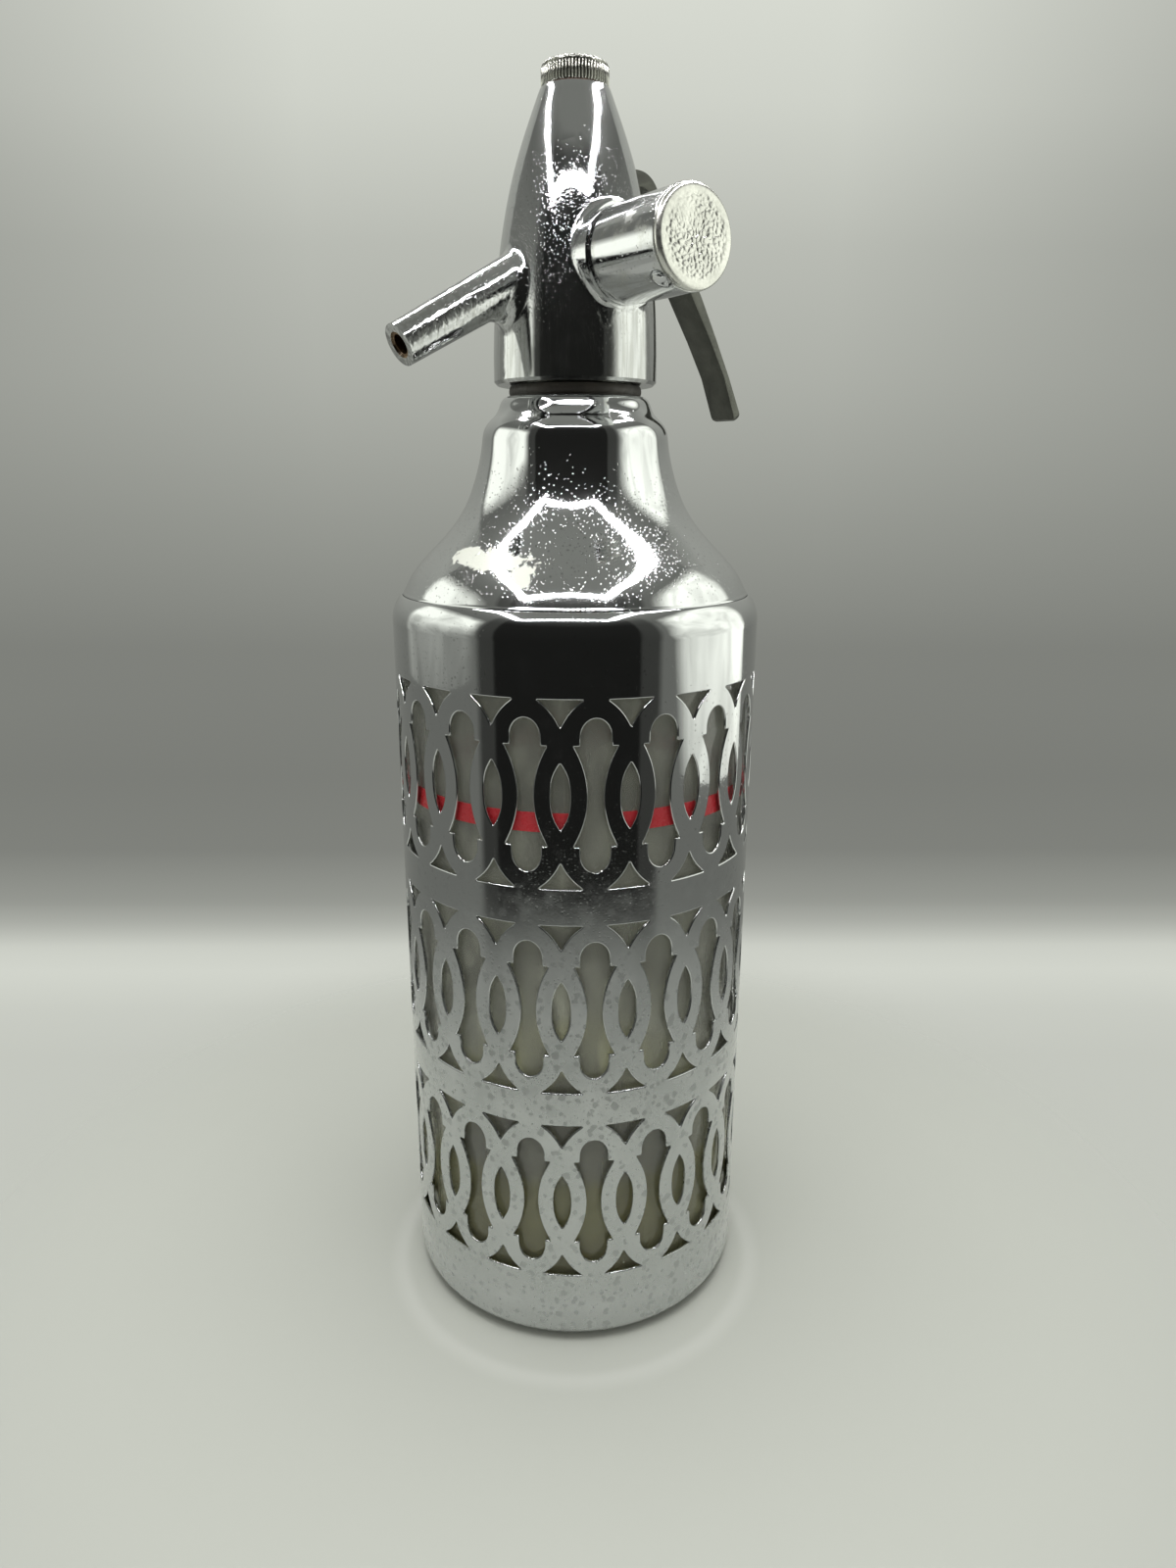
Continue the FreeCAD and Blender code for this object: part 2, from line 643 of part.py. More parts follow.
def make_knurled_cap():
    """Screw cap over the spring, ribbed round its edge."""
    low = HEAD_TOP + 0.45
    top_edge = 1.1
    points = []
    for i in range(2 * CAP_RIBS + 1):
        angle = math.pi * i / CAP_RIBS
        radius = CAP_R - (0.32 if i % 2 else 0.0)
        points.append(V(radius * math.cos(angle), radius * math.sin(angle), low))
    body = Part.Face(Part.makePolygon(points)).extrude(V(0, 0, CAP_TOP - low))
    dome = turned((0, low - 1), (CAP_R + 1, low - 1), (CAP_R + 1, CAP_TOP - top_edge),
                  (CAP_R + 0.05, CAP_TOP - top_edge), (CAP_R - 0.9, CAP_TOP - 0.15), (0, CAP_TOP))
    screw = ring(0, CAP_SCREW_R, SPRING_TOP + 0.05, low + 0.5)
    screw = screw.cut(ring(0, 4.2, SPRING_TOP - 1, SPRING_TOP + 1.2))
    return body.common(dome).fuse(screw).removeSplitter()


# ---- Gas charger and its holder ----------------------------------------------
def make_gas_charger():
    """Steel bulb: round end, straight body, shoulder, and a thin neck with its seal's recess."""
    r = CHARGER_R
    end = CHARGER_END
    tip = end - CHARGER_LENGTH
    half_turn = r * math.sin(math.pi / 4)
    bulb = turned((0, end), ((half_turn, end - r + half_turn), (r, end - r)), (r, end - 44.0),
                  ((0.86 * r, end - 48.5), (CHARGER_NECK_R, end - 53.0)),
                  (CHARGER_NECK_R, tip + 1), (CHARGER_NECK_R - 0.8, tip), (0, tip))
    return outward(bulb.cut(ring(0, 1.2, tip - 1, tip + 3.5)))


def make_charger_seal():
    return outward(ring(1.5, 4.8, -16.4, -14.8))


def make_pin_holder():
    disc = ring(0, 4.85, -19.0, -16.5)
    disc = disc.cut(ring(0, 0.72, -20, -15))
    return outward(disc.cut(at(ring(0, 0.6, -20, -15), 2.6, 0)))


def make_piercing_pin():
    pin = turned((0, -19.0), (0.7, -19.0), (0.7, -13.8), (0, -12.4))
    return outward(pin)


def make_holder_gasket():
    return outward(ring(SPIGOT_R + 0.05, SLEEVE_R - 0.2, BOSS_END, BOSS_END + 0.8))


STAKE_ALONG = 48.9       # staking dimples: distance out, and angle from straight down towards -X
STAKE_ANGLE = 37.0
STAKE_BALL = 3.4
STAKE_DEPTH = 1.3


def make_charger_sleeve():
    """Screw sleeve over the charger, staked over the end plug by two dimples."""
    sleeve = turned((SPIGOT_R + 0.08, SLEEVE_START), (SLEEVE_R - 0.3, SLEEVE_START),
                    (SLEEVE_R, SLEEVE_START + 0.3), (SLEEVE_R, SLEEVE_END - 0.4),
                    (SLEEVE_R - 0.4, SLEEVE_END), (9.7, SLEEVE_END), (9.7, SPIGOT_END + 1.2),
                    (SPIGOT_R + 0.08, SPIGOT_END + 1.2))
    angle = math.radians(STAKE_ANGLE)
    aim = V(-math.sin(angle), -math.cos(angle), 0)
    reach = SLEEVE_R - STAKE_DEPTH + STAKE_BALL
    for side in (1, -1):
        sleeve = sleeve.cut(Part.makeSphere(STAKE_BALL, V(0, 0, STAKE_ALONG) + aim * side * reach))
    return outward(sleeve)


def make_holder_pad():
    return outward(ring(0, 3.6, CHARGER_END + 0.25, SLEEVE_END - 0.15))


def make_charger_end_cap():
    """Pressed-in end plug with a rounded rim."""
    face = turned((0, SLEEVE_END + 0.15), (SLEEVE_R - 0.35, SLEEVE_END + 0.15),
                  (SLEEVE_R - 0.1, SLEEVE_END + 0.5),
                  ((SLEEVE_R - 0.43, END_CAP_FACE - 0.4), (SLEEVE_R - 1.3, END_CAP_FACE)),
                  (0, END_CAP_FACE))
    stub = ring(8.2, 9.65, 48.6, SLEEVE_END + 0.3)
    return outward(face.fuse(stub).removeSplitter())


# ---- Write one file for each piece -------------------------------------------
PIECES = {
    "glass_bottle": make_glass_bottle,
    "fill_line_band": make_fill_line,
    "base_plate": make_base_plate,
    "base_pad": make_base_pad,
    "jacket_body": make_jacket_body,
    "jacket_shoulder": make_jacket_shoulder,
    "shoulder_cushion": make_shoulder_cushion,
    "neck_ring": make_neck_ring,
    "neck_collet": make_neck_collet,
    "head_gasket": make_head_gasket,
    "neck_seal": make_neck_seal,
    "tube_plug": make_tube_plug,
    "dip_tube": make_dip_tube,
    "check_flap": make_check_flap,
    "tube_nut": make_tube_nut,
    "head_washer": make_head_washer,
    "head_casting": make_head_casting,
    "spout_nozzle": make_spout_nozzle,
    "valve_seat": make_valve_seat,
    "valve_plug": make_valve_plug,
    "valve_stem": make_valve_stem,
    "stem_packing": make_stem_packing,
    "packing_nut": make_packing_nut,
    "lever": make_lever,
    "lever_pin": make_lever_pin,
    "spring_plunger": make_spring_plunger,
    "valve_spring": make_valve_spring,
    "cap_washer": make_cap_washer,
    "knurled_cap": make_knurled_cap,
    "gas_charger": make_gas_charger,
    "charger_seal": make_charger_seal,
    "pin_holder": make_pin_holder,
    "piercing_pin": make_piercing_pin,
    "holder_gasket": make_holder_gasket,
    "charger_sleeve": make_charger_sleeve,
    "holder_pad": make_holder_pad,
    "charger_end_cap": make_charger_end_cap,
}

os.makedirs("parts", exist_ok=True)
for name, make in PIECES.items():
    shape = make()
    shape.exportStep(os.path.join("parts", name + ".step"))
    box_size = shape.BoundBox
    print("%-17s solids %d valid %s volume %9.1f mm3  z %.1f to %.1f"
          % (name, len(shape.Solids), shape.isValid(), shape.Volume, box_size.ZMin, box_size.ZMax))
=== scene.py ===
# %% [markdown]
# # A soda siphon in chrome and glass
# A soda siphon is a thick glass bottle in a pierced metal can. A spun bell covers its shoulder, and a
# heavy chromed head carries the spout, the lever and the holder for a gas charger. The engineering model
# is the fixed frame: it says where every piece is, and each piece made here takes its place from it.

# %% Load the frame
import math

import bmesh
import bpy
import numpy as np
from mathutils import Matrix, Vector, geometry, noise


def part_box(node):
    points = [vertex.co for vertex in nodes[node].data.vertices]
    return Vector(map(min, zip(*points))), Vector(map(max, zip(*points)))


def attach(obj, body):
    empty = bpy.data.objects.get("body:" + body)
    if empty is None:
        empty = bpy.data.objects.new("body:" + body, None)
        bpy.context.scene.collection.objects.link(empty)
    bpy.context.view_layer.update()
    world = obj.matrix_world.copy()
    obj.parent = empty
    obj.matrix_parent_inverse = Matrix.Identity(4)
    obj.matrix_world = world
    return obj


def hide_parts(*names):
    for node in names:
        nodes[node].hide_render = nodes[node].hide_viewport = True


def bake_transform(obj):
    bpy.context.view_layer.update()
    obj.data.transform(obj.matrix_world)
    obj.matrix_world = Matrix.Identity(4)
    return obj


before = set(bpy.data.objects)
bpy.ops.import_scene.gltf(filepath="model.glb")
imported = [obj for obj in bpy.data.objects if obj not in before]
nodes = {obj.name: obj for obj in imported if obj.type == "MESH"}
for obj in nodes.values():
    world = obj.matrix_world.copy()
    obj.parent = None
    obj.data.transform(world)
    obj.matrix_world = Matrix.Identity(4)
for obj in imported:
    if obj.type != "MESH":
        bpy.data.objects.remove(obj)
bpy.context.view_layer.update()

MM = 0.001
slot_of = {name: node.material_slots[0].material.name for name, node in nodes.items()}
for plain in list(bpy.data.materials):
    bpy.data.materials.remove(plain)


def size_of(node):
    """Radius, lowest and highest point of a turned node, in millimetres."""
    low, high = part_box(node)
    return high.x / MM, low.z / MM, high.z / MM


# %% [markdown]
# ## Helpers for turned pieces
# Most of the siphon is spun, cast or blown to a round shape, so one helper turns an outline round the
# axis. Chrome shows every kink in a curve, so the outlines are cubic splines, whose bend changes
# smoothly. A polyline or a Bezier curve with hand-set handles would show its joints as broken highlights.


# %% Outlines and turned meshes
def smooth_line(points, step):
    """Evenly spaced points on a natural cubic spline through a few given ones."""
    points = np.array(points, float)
    run = np.linalg.norm(np.diff(points, axis=0), axis=1)
    along = np.concatenate([[0.0], np.cumsum(run)])
    count = len(points)
    matrix, load = np.eye(count), np.zeros((count, 2))
    for i in range(1, count - 1):
        matrix[i, i - 1:i + 2] = run[i - 1], 2 * (run[i - 1] + run[i]), run[i]
        load[i] = 6 * ((points[i + 1] - points[i]) / run[i] - (points[i] - points[i - 1]) / run[i - 1])
    bend = np.linalg.solve(matrix, load)
    places = np.linspace(0, along[-1], max(2, round(along[-1] / step) + 1))
    k = np.clip(np.searchsorted(along, places) - 1, 0, count - 2)
    b = ((places - along[k]) / run[k])[:, None]
    a = 1 - b
    curve = a * points[k] + b * points[k + 1]
    curve += ((a ** 3 - a) * bend[k] + (b ** 3 - b) * bend[k + 1]) * run[k][:, None] ** 2 / 6
    return [tuple(p) for p in curve]


def arc(centre, radius, start, stop, steps):
    """Points on an arc; angles in degrees, 0 along the radius and 90 up."""
    angles = np.radians(np.linspace(start, stop, steps + 1))
    return [(centre[0] + radius * math.cos(a), centre[1] + radius * math.sin(a)) for a in angles]


def parallel(points, distance):
    """The outline moved square to itself, to the left of its run for a positive distance."""
    points = np.array(points, float)
    run = np.gradient(points, axis=0)
    run /= np.linalg.norm(run, axis=1)[:, None]
    return [tuple(p) for p in points + distance * np.stack([-run[:, 1], run[:, 0]], axis=1)]


print("points on a quarter circle in 8 steps", len(arc((0, 0), 1.0, 0, 90, 8)))


# %% From an outline to a piece
def finish_mesh(mesh, sharp):
    """Close seams, point faces outwards and shade smooth, with edges sharper than an angle kept."""
    work = bmesh.new()
    work.from_mesh(mesh)
    bmesh.ops.remove_doubles(work, verts=work.verts, dist=1e-6)
    bmesh.ops.recalc_face_normals(work, faces=work.faces)
    work.to_mesh(mesh)
    work.free()
    mesh.shade_smooth()
    mesh.set_sharp_from_angle(angle=math.radians(sharp))
    return mesh


def piece(name, mesh, body, material, stands_for=()):
    """Object at the origin, riding on a body, and standing for CAD nodes if it is given any."""
    obj = bpy.data.objects.new(name, mesh)
    bpy.context.scene.collection.objects.link(obj)
    mesh.materials.clear()
    mesh.materials.append(material)
    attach(obj, body)
    if stands_for:
        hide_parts(*stands_for)
    return obj


def turned_mesh(name, outline, segments, closed=True, turn=0.0):
    """Mesh of an outline of (radius, height) points, in millimetres, turned round the axis."""
    angles = np.radians(turn) + np.linspace(0, 2 * math.pi, segments, endpoint=False)
    verts, rings = [], []
    for radius, height in outline:
        if radius < 1e-4:
            rings.append([len(verts)] * segments)
            verts.append((0, 0, height * MM))
            continue
        rings.append(list(range(len(verts), len(verts) + segments)))
        verts += [(radius * MM * math.sin(a), -radius * MM * math.cos(a), height * MM) for a in angles]
    faces = []
    pairs = list(zip(rings, rings[1:] + rings[:1])) if closed else list(zip(rings, rings[1:]))
    for low, high in pairs:
        for i in range(segments):
            j = (i + 1) % segments
            corners = [low[i], low[j], high[j], high[i]]
            face = [v for n, v in enumerate(corners) if v not in corners[:n]]
            if len(face) > 2:
                faces.append(face)
    mesh = bpy.data.meshes.new(name)
    mesh.from_pydata(verts, [], faces)
    return mesh


print("mesh helpers ready, in units of", MM, "m")

# %% [markdown]
# ## Helpers for node trees
# Materials and Geometry Nodes are both graphs. One small function adds a node, sets what it is given and
# wires in what comes from other nodes, so that a tree reads as a list of steps. A few more name the steps
# that come again and again.


# %% Adding nodes
def fill(tree, socket, value):
    """Gives a socket a value, or links an output to it."""
    if isinstance(value, bpy.types.NodeSocket):
        tree.links.new(value, socket)
    else:
        socket.default_value = value


def add_node(tree, kind, inputs=None, **settings):
    """New node; inputs maps a socket's name or number to a value, or to an output to link."""
    node = tree.nodes.new(kind)
    for key, value in settings.items():
        setattr(node, key, value)
    for key, value in (inputs or {}).items():
        fill(tree, node.inputs[key], value)
    return node


def calculate(tree, operation, a, b=0.0, clamp=False):
    """Result of one sum on two values or outputs."""
    return add_node(tree, "ShaderNodeMath", {0: a, 1: b}, operation=operation, use_clamp=clamp).outputs[0]


def spread(tree, value, low, high, out_low=0.0, out_high=1.0, kind="LINEAR"):
    """A value taken from one range to another, and held there at both ends."""
    inputs = {"Value": value, "From Min": low, "From Max": high, "To Min": out_low, "To Max": out_high}
    return add_node(tree, "ShaderNodeMapRange", inputs, interpolation_type=kind).outputs["Result"]


def combine(tree, operation, a, b=(0, 0, 0)):
    """Result of one sum on two vectors."""
    node = add_node(tree, "ShaderNodeVectorMath", {0: a, 1: b}, operation=operation)
    return node.outputs["Value" if operation == "LENGTH" else "Vector"]


def mapped(tree, place, **change):
    """A place that is moved by Location, turned by Rotation or stretched by Scale."""
    return add_node(tree, "ShaderNodeMapping", {"Vector": place, **change}).outputs["Vector"]


def mix_colour(tree, factor, a, b):
    """Colour between a and b; each of the three may be a value or an output."""
    node = add_node(tree, "ShaderNodeMix", data_type="RGBA")
    for key, value in (("Factor", factor), ("A", a), ("B", b)):
        fill(tree, next(s for s in node.inputs if s.name == key and s.enabled), value)
    return next(s for s in node.outputs if s.enabled)


print("node helpers ready in Blender", bpy.app.version_string)

# %% [markdown]
# ## A finish in the making
# Every material here has a Principled shader at its end and reads Object coordinates, so a pattern stays
# with its piece when the piece moves. The class holds the tree and gives the usual steps short names.


# %% The finish class
class Finish:
    """A material in the making, on Object coordinates, with a Principled shader at its end."""

    def __init__(self, name, **shader):
        self.material = bpy.data.materials.new(name)
        self.material.use_nodes = True
        self.tree = self.material.node_tree
        self.tree.nodes.clear()
        self.place = add_node(self.tree, "ShaderNodeTexCoord").outputs["Object"]
        self.shader = add_node(self.tree, "ShaderNodeBsdfPrincipled", shader)
        output = add_node(self.tree, "ShaderNodeOutputMaterial")
        self.tree.links.new(self.shader.outputs["BSDF"], output.inputs["Surface"])

    def plus(self, a, b, clamp=False):
        return calculate(self.tree, "ADD", a, b, clamp)

    def minus(self, a, b):
        return calculate(self.tree, "SUBTRACT", a, b)

    def times(self, a, b):
        return calculate(self.tree, "MULTIPLY", a, b)

    def larger(self, a, b):
        return calculate(self.tree, "MAXIMUM", a, b)

    def part(self, vector, axis):
        """One of the three numbers in a vector or a colour."""
        return add_node(self.tree, "ShaderNodeSeparateXYZ", {"Vector": vector}).outputs[axis]

    def height(self):
        """Height above the table, in metres."""
        return self.part(self.place, "Z")

    def drawn(self, *scale):
        """Place with its axes scaled: a noise that reads it is drawn out along the smallest."""
        return mapped(self.tree, self.place, Scale=scale)

    def noise(self, scale, detail=3.0, rough=0.5, warp=0.0, place=None):
        """Cloudy noise with so many features to the metre."""
        inputs = {"Vector": place or self.place, "Scale": scale, "Detail": detail,
                  "Roughness": rough, "Distortion": warp}
        return add_node(self.tree, "ShaderNodeTexNoise", inputs).outputs["Fac"]

    def cells(self, scale, place=None):
        """Outputs of a texture of cells: each has a colour by chance and a distance from its middle."""
        inputs = {"Vector": place or self.place, "Scale": scale}
        return add_node(self.tree, "ShaderNodeTexVoronoi", inputs).outputs

    def stretch(self, value, low, high, out_low=0.0, out_high=1.0, kind="SMOOTHSTEP"):
        """The same as spread, with soft ends."""
        return spread(self.tree, value, low, high, out_low, out_high, kind)

    def mix(self, factor, a, b):
        return mix_colour(self.tree, factor, a, b)

    def bump(self, height, distance, strength=1.0, after=None):
        """Normal bent by a height of a few hundredths of a millimetre, on top of an earlier one."""
        inputs = {"Height": height, "Distance": distance * MM, "Strength": strength}
        if after:
            inputs["Normal"] = after
        return add_node(self.tree, "ShaderNodeBump", inputs).outputs["Normal"]

    def set(self, **sockets):
        """Drives sockets of the shader; underscores stand for spaces."""
        for key, value in sockets.items():
            fill(self.tree, self.shader.inputs[key.replace("_", " ")], value)


print("steps of a finish:", [step for step in vars(Finish) if not step.startswith("_")])

# %% [markdown]
# ## Camera
# The camera stands a forearm's length away, a little above the shoulder of the bottle, and looks down at
# it. So close, a wide lens makes the foot look narrower than the shoulder.

# %% Set the camera
CAMERA_PLACE = (-0.19209, -0.27433, 0.27343)
CAMERA_LENS = 23.92
CAMERA_DOWN = 16.416
CAMERA_YAW = 0.721
CAMERA_ROLL = 0.177
STAGE_TURN = -35.0       # the stage faces the camera, which stands this far round from -Y


def camera_axes():
    """Right, up and forward of the camera, turned with the stage."""
    yaw, down, roll = (math.radians(v) for v in (CAMERA_YAW, CAMERA_DOWN, CAMERA_ROLL))
    forward = Vector((math.sin(yaw) * math.cos(down), math.cos(yaw) * math.cos(down), -math.sin(down)))
    right = Vector((math.cos(yaw), -math.sin(yaw), 0))
    up = right.cross(forward)
    right, up = (right * math.cos(roll) + up * math.sin(roll), up * math.cos(roll) - right * math.sin(roll))
    stage = Matrix.Rotation(math.radians(STAGE_TURN), 3, "Z")
    return stage @ right, stage @ up, stage @ forward


right, up, forward = camera_axes()
camera_data = bpy.data.cameras.new("camera")
camera_data.lens = CAMERA_LENS
camera_data.sensor_fit = "VERTICAL"
camera_data.sensor_height = 36.0
camera_data.clip_start = 0.01
camera = bpy.data.objects.new("camera", camera_data)
camera.matrix_world = Matrix.Translation(CAMERA_PLACE) @ Matrix((right, up, -forward)).transposed().to_4x4()
bpy.context.scene.collection.objects.link(camera)
bpy.context.scene.camera = camera
bpy.context.scene.view_settings.view_transform = "Standard"
print("camera stands above the table by m", CAMERA_PLACE[2])

# %% [markdown]
# ## Stage: a tent of pale cloth
# Chrome has no colour of its own: it shows what stands round it. So the siphon stands in a small tent of
# pale cloth that is open at the front, where the room is dark. The tent could be modelled, but the world can
# draw it from a ray's height and bearing, which costs nothing and has no edges. Matt pieces don't need the
# pattern: rays that leave them meet an even light.

# %% What the world is made of
CLOTH = (0.97, 1.0, 0.91)
BLACK = (0, 0, 0, 1)
PLAIN_LIGHT = (0.46, 0.465, 0.45, 1)     # what a matt surface gets from every side
BACKDROP = (   # height of the ray in degrees, brightness of the cloth behind the object
    (-60, 0.56), (-31, 0.57), (-28.6, 0.60), (-26.6, 0.66), (-25.3, 0.62), (-24.0, 0.42), (-22.8, 0.31),
    (-20, 0.22), (-16, 0.205), (-9, 0.225), (-2, 0.32), (5, 0.43), (11, 0.50), (17, 0.645), (24, 0.74))
FLAT_BACK = 0.848            # the back is flat within 32 degrees of straight behind, and round elsewhere
SHADED_SIDES = 0.36          # how much the backdrop darkens towards its upper corners
CORNER_ASIDE, CORNER_SOFT = (22.0, 44.0), 9.0     # degrees from straight behind
CORNER_UPWARD = (-12.0, 14.0)                     # the shade comes in between these heights
BACK = ((-60, 0.50), (-28, 0.46), (-24, 0.20), (-10, 0.20), (0, 0.26), (12, 0.36), (30, 0.45), (44, 0.30),
        (70, 0.28))
SIDES = ((-60, 0.52), (-28, 0.48), (-24, 0.20), (-8, 0.19), (30, 0.20), (36, 0.17), (46, 0.21), (62, 0.28),
         (80, 0.28))
EDGES = ((-60, 0.52), (-28, 0.46), (-24, 0.05), (34, 0.07), (44, 0.10), (56, 0.26), (80, 0.28))
ROOM = ((-60, 0.55), (-27, 0.46), (-23.5, 0.012), (34, 0.018), (46, 0.05), (54, 0.25), (80, 0.28))
BACK_CORNERS = (-124.0, 122.0)       # bearings from straight ahead, in degrees
FRONT_CORNERS = (-61.0, 53.0)
OPENING = (-50.0, 40.0)
PARTS_OF_TENT = ((SIDES, BACK_CORNERS, 1.2), (EDGES, FRONT_CORNERS, 2.0), (ROOM, OPENING, 1.0))
print("tent opens between bearings", OPENING)


# %% Steps that the world and the walls share
def height_ramp(tree, height, stops):
    """Brightness of the cloth for a ray's height, from a table of a few heights."""
    low, high = stops[0][0], stops[-1][0]
    ramp = add_node(tree, "ShaderNodeValToRGB", {"Fac": spread(tree, height, low, high)})
    elements = ramp.color_ramp.elements
    while len(elements) < len(stops):
        elements.new(0.5)
    for element, (at, level) in zip(elements, stops):
        element.position = (at - low) / (high - low)
    for element, (at, level) in zip(elements, stops):
        element.color = (*(level * c for c in CLOTH), 1)
    return ramp.outputs["Color"]


def between(tree, value, low, high, soft, soft_end=None):
    """1 where a value lies between two limits, with soft edges."""
    soft_end = soft_end or soft
    rise = spread(tree, value, low - soft, low + soft)
    fall = spread(tree, value, high + soft_end, high - soft_end)
    return calculate(tree, "MULTIPLY", rise, fall)


def in_degrees(tree, operation, a, b=0.0):
    """Angle from an inverse function of one or two outputs."""
    return calculate(tree, "DEGREES", calculate(tree, operation, a, b))


print("heights in the table of the backdrop", len(BACKDROP))


# %% The world: what mirrors, the camera and matt pieces see
def backdrop_colour(tree, way, x, y, z):
    """The cloth behind the object: flat in the middle, with darker upper corners."""
    level = combine(tree, "MULTIPLY", way, (FLAT_BACK, FLAT_BACK, 0))
    away = calculate(tree, "MAXIMUM", y, combine(tree, "LENGTH", level))
    upward = in_degrees(tree, "ARCTAN2", z, away)
    aside = calculate(tree, "ABSOLUTE", in_degrees(tree, "ARCTAN2", x, y))
    corner = between(tree, aside, *CORNER_ASIDE, CORNER_SOFT)
    high = spread(tree, upward, *CORNER_UPWARD, 0.0, SHADED_SIDES)
    shaded = calculate(tree, "MULTIPLY", corner, high)
    return mix_colour(tree, shaded, height_ramp(tree, upward, BACKDROP), BLACK)


def tent_colour(tree, x, y, z):
    """What a mirror sees: the back, and over it the sides, the front edges and the dark room."""
    height = in_degrees(tree, "ARCSINE", z)
    bearing = in_degrees(tree, "ARCTAN2", x, calculate(tree, "MULTIPLY", y, -1.0))
    colour = height_ramp(tree, height, BACK)
    for table, limits, soft in PARTS_OF_TENT:
        reached = between(tree, bearing, *limits, soft)
        colour = mix_colour(tree, reached, colour, height_ramp(tree, height, table))
    return colour


def build_world():
    """World that shows the tent to mirrors, the backdrop to the camera and an even light to the rest."""
    world = bpy.data.worlds.new("tent")
    bpy.context.scene.world = world
    world.use_nodes = True
    tree = world.node_tree
    tree.nodes.clear()
    ray = add_node(tree, "ShaderNodeTexCoord").outputs["Generated"]
    way = mapped(tree, ray, Rotation=(0, 0, -math.radians(STAGE_TURN)))
    split = add_node(tree, "ShaderNodeSeparateXYZ", {"Vector": way}).outputs
    x, y, z = split["X"], split["Y"], split["Z"]
    path = add_node(tree, "ShaderNodeLightPath").outputs
    direct = calculate(tree, "MAXIMUM", path["Is Camera Ray"], path["Is Transmission Ray"])
    shown = mix_colour(tree, path["Is Glossy Ray"], PLAIN_LIGHT, tent_colour(tree, x, y, z))
    shown = mix_colour(tree, direct, shown, backdrop_colour(tree, way, x, y, z))
    background = add_node(tree, "ShaderNodeBackground", {"Color": shown, "Strength": 1.0})
    output = add_node(tree, "ShaderNodeOutputWorld")
    tree.links.new(background.outputs[0], output.inputs["Surface"])
    return tree


print("nodes in the world", len(build_world().nodes))

# %% [markdown]
# ## Stage: floor
# The floor is pale cloth too, and it has to keep the object's shadow, so it is a real disc that fades into
# the world at its rim. The rolled foot throws a thin ring of light back on it. Tracing that ring would take
# many samples, so the floor's own colour is a little paler there.

# %% Floor
FLOOR_PALE = (0.575, 0.592, 0.535, 1)
FLOOR_SOLID, FLOOR_END = 0.16, 0.27   # the floor fades into the same pale world between these radii
FLOOR_RINGS, FLOOR_SIDES = 6, 96
FLOOR_RING = (0.63, 0.645, 0.59, 1)   # light thrown back on the floor by the rolled foot
RING_R, RING_AHEAD = 0.0635, 0.009
RING_INSIDE, RING_OUTSIDE = 0.004, 0.006


def on_stage(name, verts, faces, material):
    """Mesh given in the stage's own directions, turned to face the camera."""
    mesh = bpy.data.meshes.new(name)
    mesh.from_pydata(verts, [], faces)
    mesh.transform(Matrix.Rotation(math.radians(STAGE_TURN), 4, "Z"))
    mesh.materials.append(material)
    obj = bpy.data.objects.new(name, mesh)
    bpy.context.scene.collection.objects.link(obj)
    return obj


def floor_finish():
    """Pale cloth with the ring of light round the foot, fading away at its rim."""
    finish = Finish("floor", **{"Base Color": FLOOR_PALE, "Roughness": 0.55, "Specular IOR Level": 0.2})
    reach = combine(finish.tree, "LENGTH", finish.place)
    finish.set(Alpha=finish.stretch(reach, FLOOR_SOLID, FLOOR_END, 1.0, 0.0))
    centre = Matrix.Rotation(math.radians(STAGE_TURN), 3, "Z") @ Vector((0, -RING_AHEAD, 0))
    reach = combine(finish.tree, "LENGTH", combine(finish.tree, "SUBTRACT", finish.place, tuple(centre)))
    ring = finish.times(finish.stretch(reach, RING_R - RING_INSIDE, RING_R),
                        finish.stretch(reach, RING_R + RING_OUTSIDE, RING_R))
    finish.set(Base_Color=finish.mix(ring, FLOOR_PALE, FLOOR_RING))
    return finish.material


def make_floor():
    """Disc of rings of faces round the axis."""
    verts, faces = [(0, 0, 0)], []
    turns = [2 * math.pi * i / FLOOR_SIDES for i in range(FLOOR_SIDES)]
    following = [(i + 1) % FLOOR_SIDES for i in range(FLOOR_SIDES)]
    for k in range(1, FLOOR_RINGS + 1):
        reach = FLOOR_END * k / FLOOR_RINGS
        verts += [(reach * math.cos(a), reach * math.sin(a), 0) for a in turns]
    faces += [(0, 1 + i, 1 + j) for i, j in enumerate(following)]
    for k in range(FLOOR_RINGS - 1):
        a, b = 1 + k * FLOOR_SIDES, 1 + (k + 1) * FLOOR_SIDES
        faces += [(a + i, b + i, b + j, a + j) for i, j in enumerate(following)]
    return on_stage("floor", verts, faces, floor_finish())


print("floor faces", len(make_floor().data.polygons))

# %% [markdown]
# ## Stage: lamp strips
# The lamps are beads of light on a frame under the roof, and the chrome shows them as dotted curves. Their
# reflection in the bell needs a true distance, so they can't be part of the world: each bead is a small
# glowing face, which only mirrors and glass see.

# %% Lamp strips
STRIP_Z = 0.65
STRIP_CORNERS = ((-0.285, -0.345), (0.168, -0.365), (0.268, 0.16), (-0.25, 0.16))
STRIP_GLOW = 42.0
STRIP_COLOUR = (1, 0.99, 1, 1)
BEAD_LONG, BEAD_WIDE, BEAD_PITCH = 0.0120, 0.040, 0.0235


def glow_material(name):
    """Material, its tree and an emission node that is wired to its surface."""
    material = bpy.data.materials.new(name)
    material.use_nodes = True
    tree = material.node_tree
    tree.nodes.clear()
    glow = add_node(tree, "ShaderNodeEmission", {"Strength": 1.0})
    output = add_node(tree, "ShaderNodeOutputMaterial")
    tree.links.new(glow.outputs[0], output.inputs["Surface"])
    return material, tree, glow


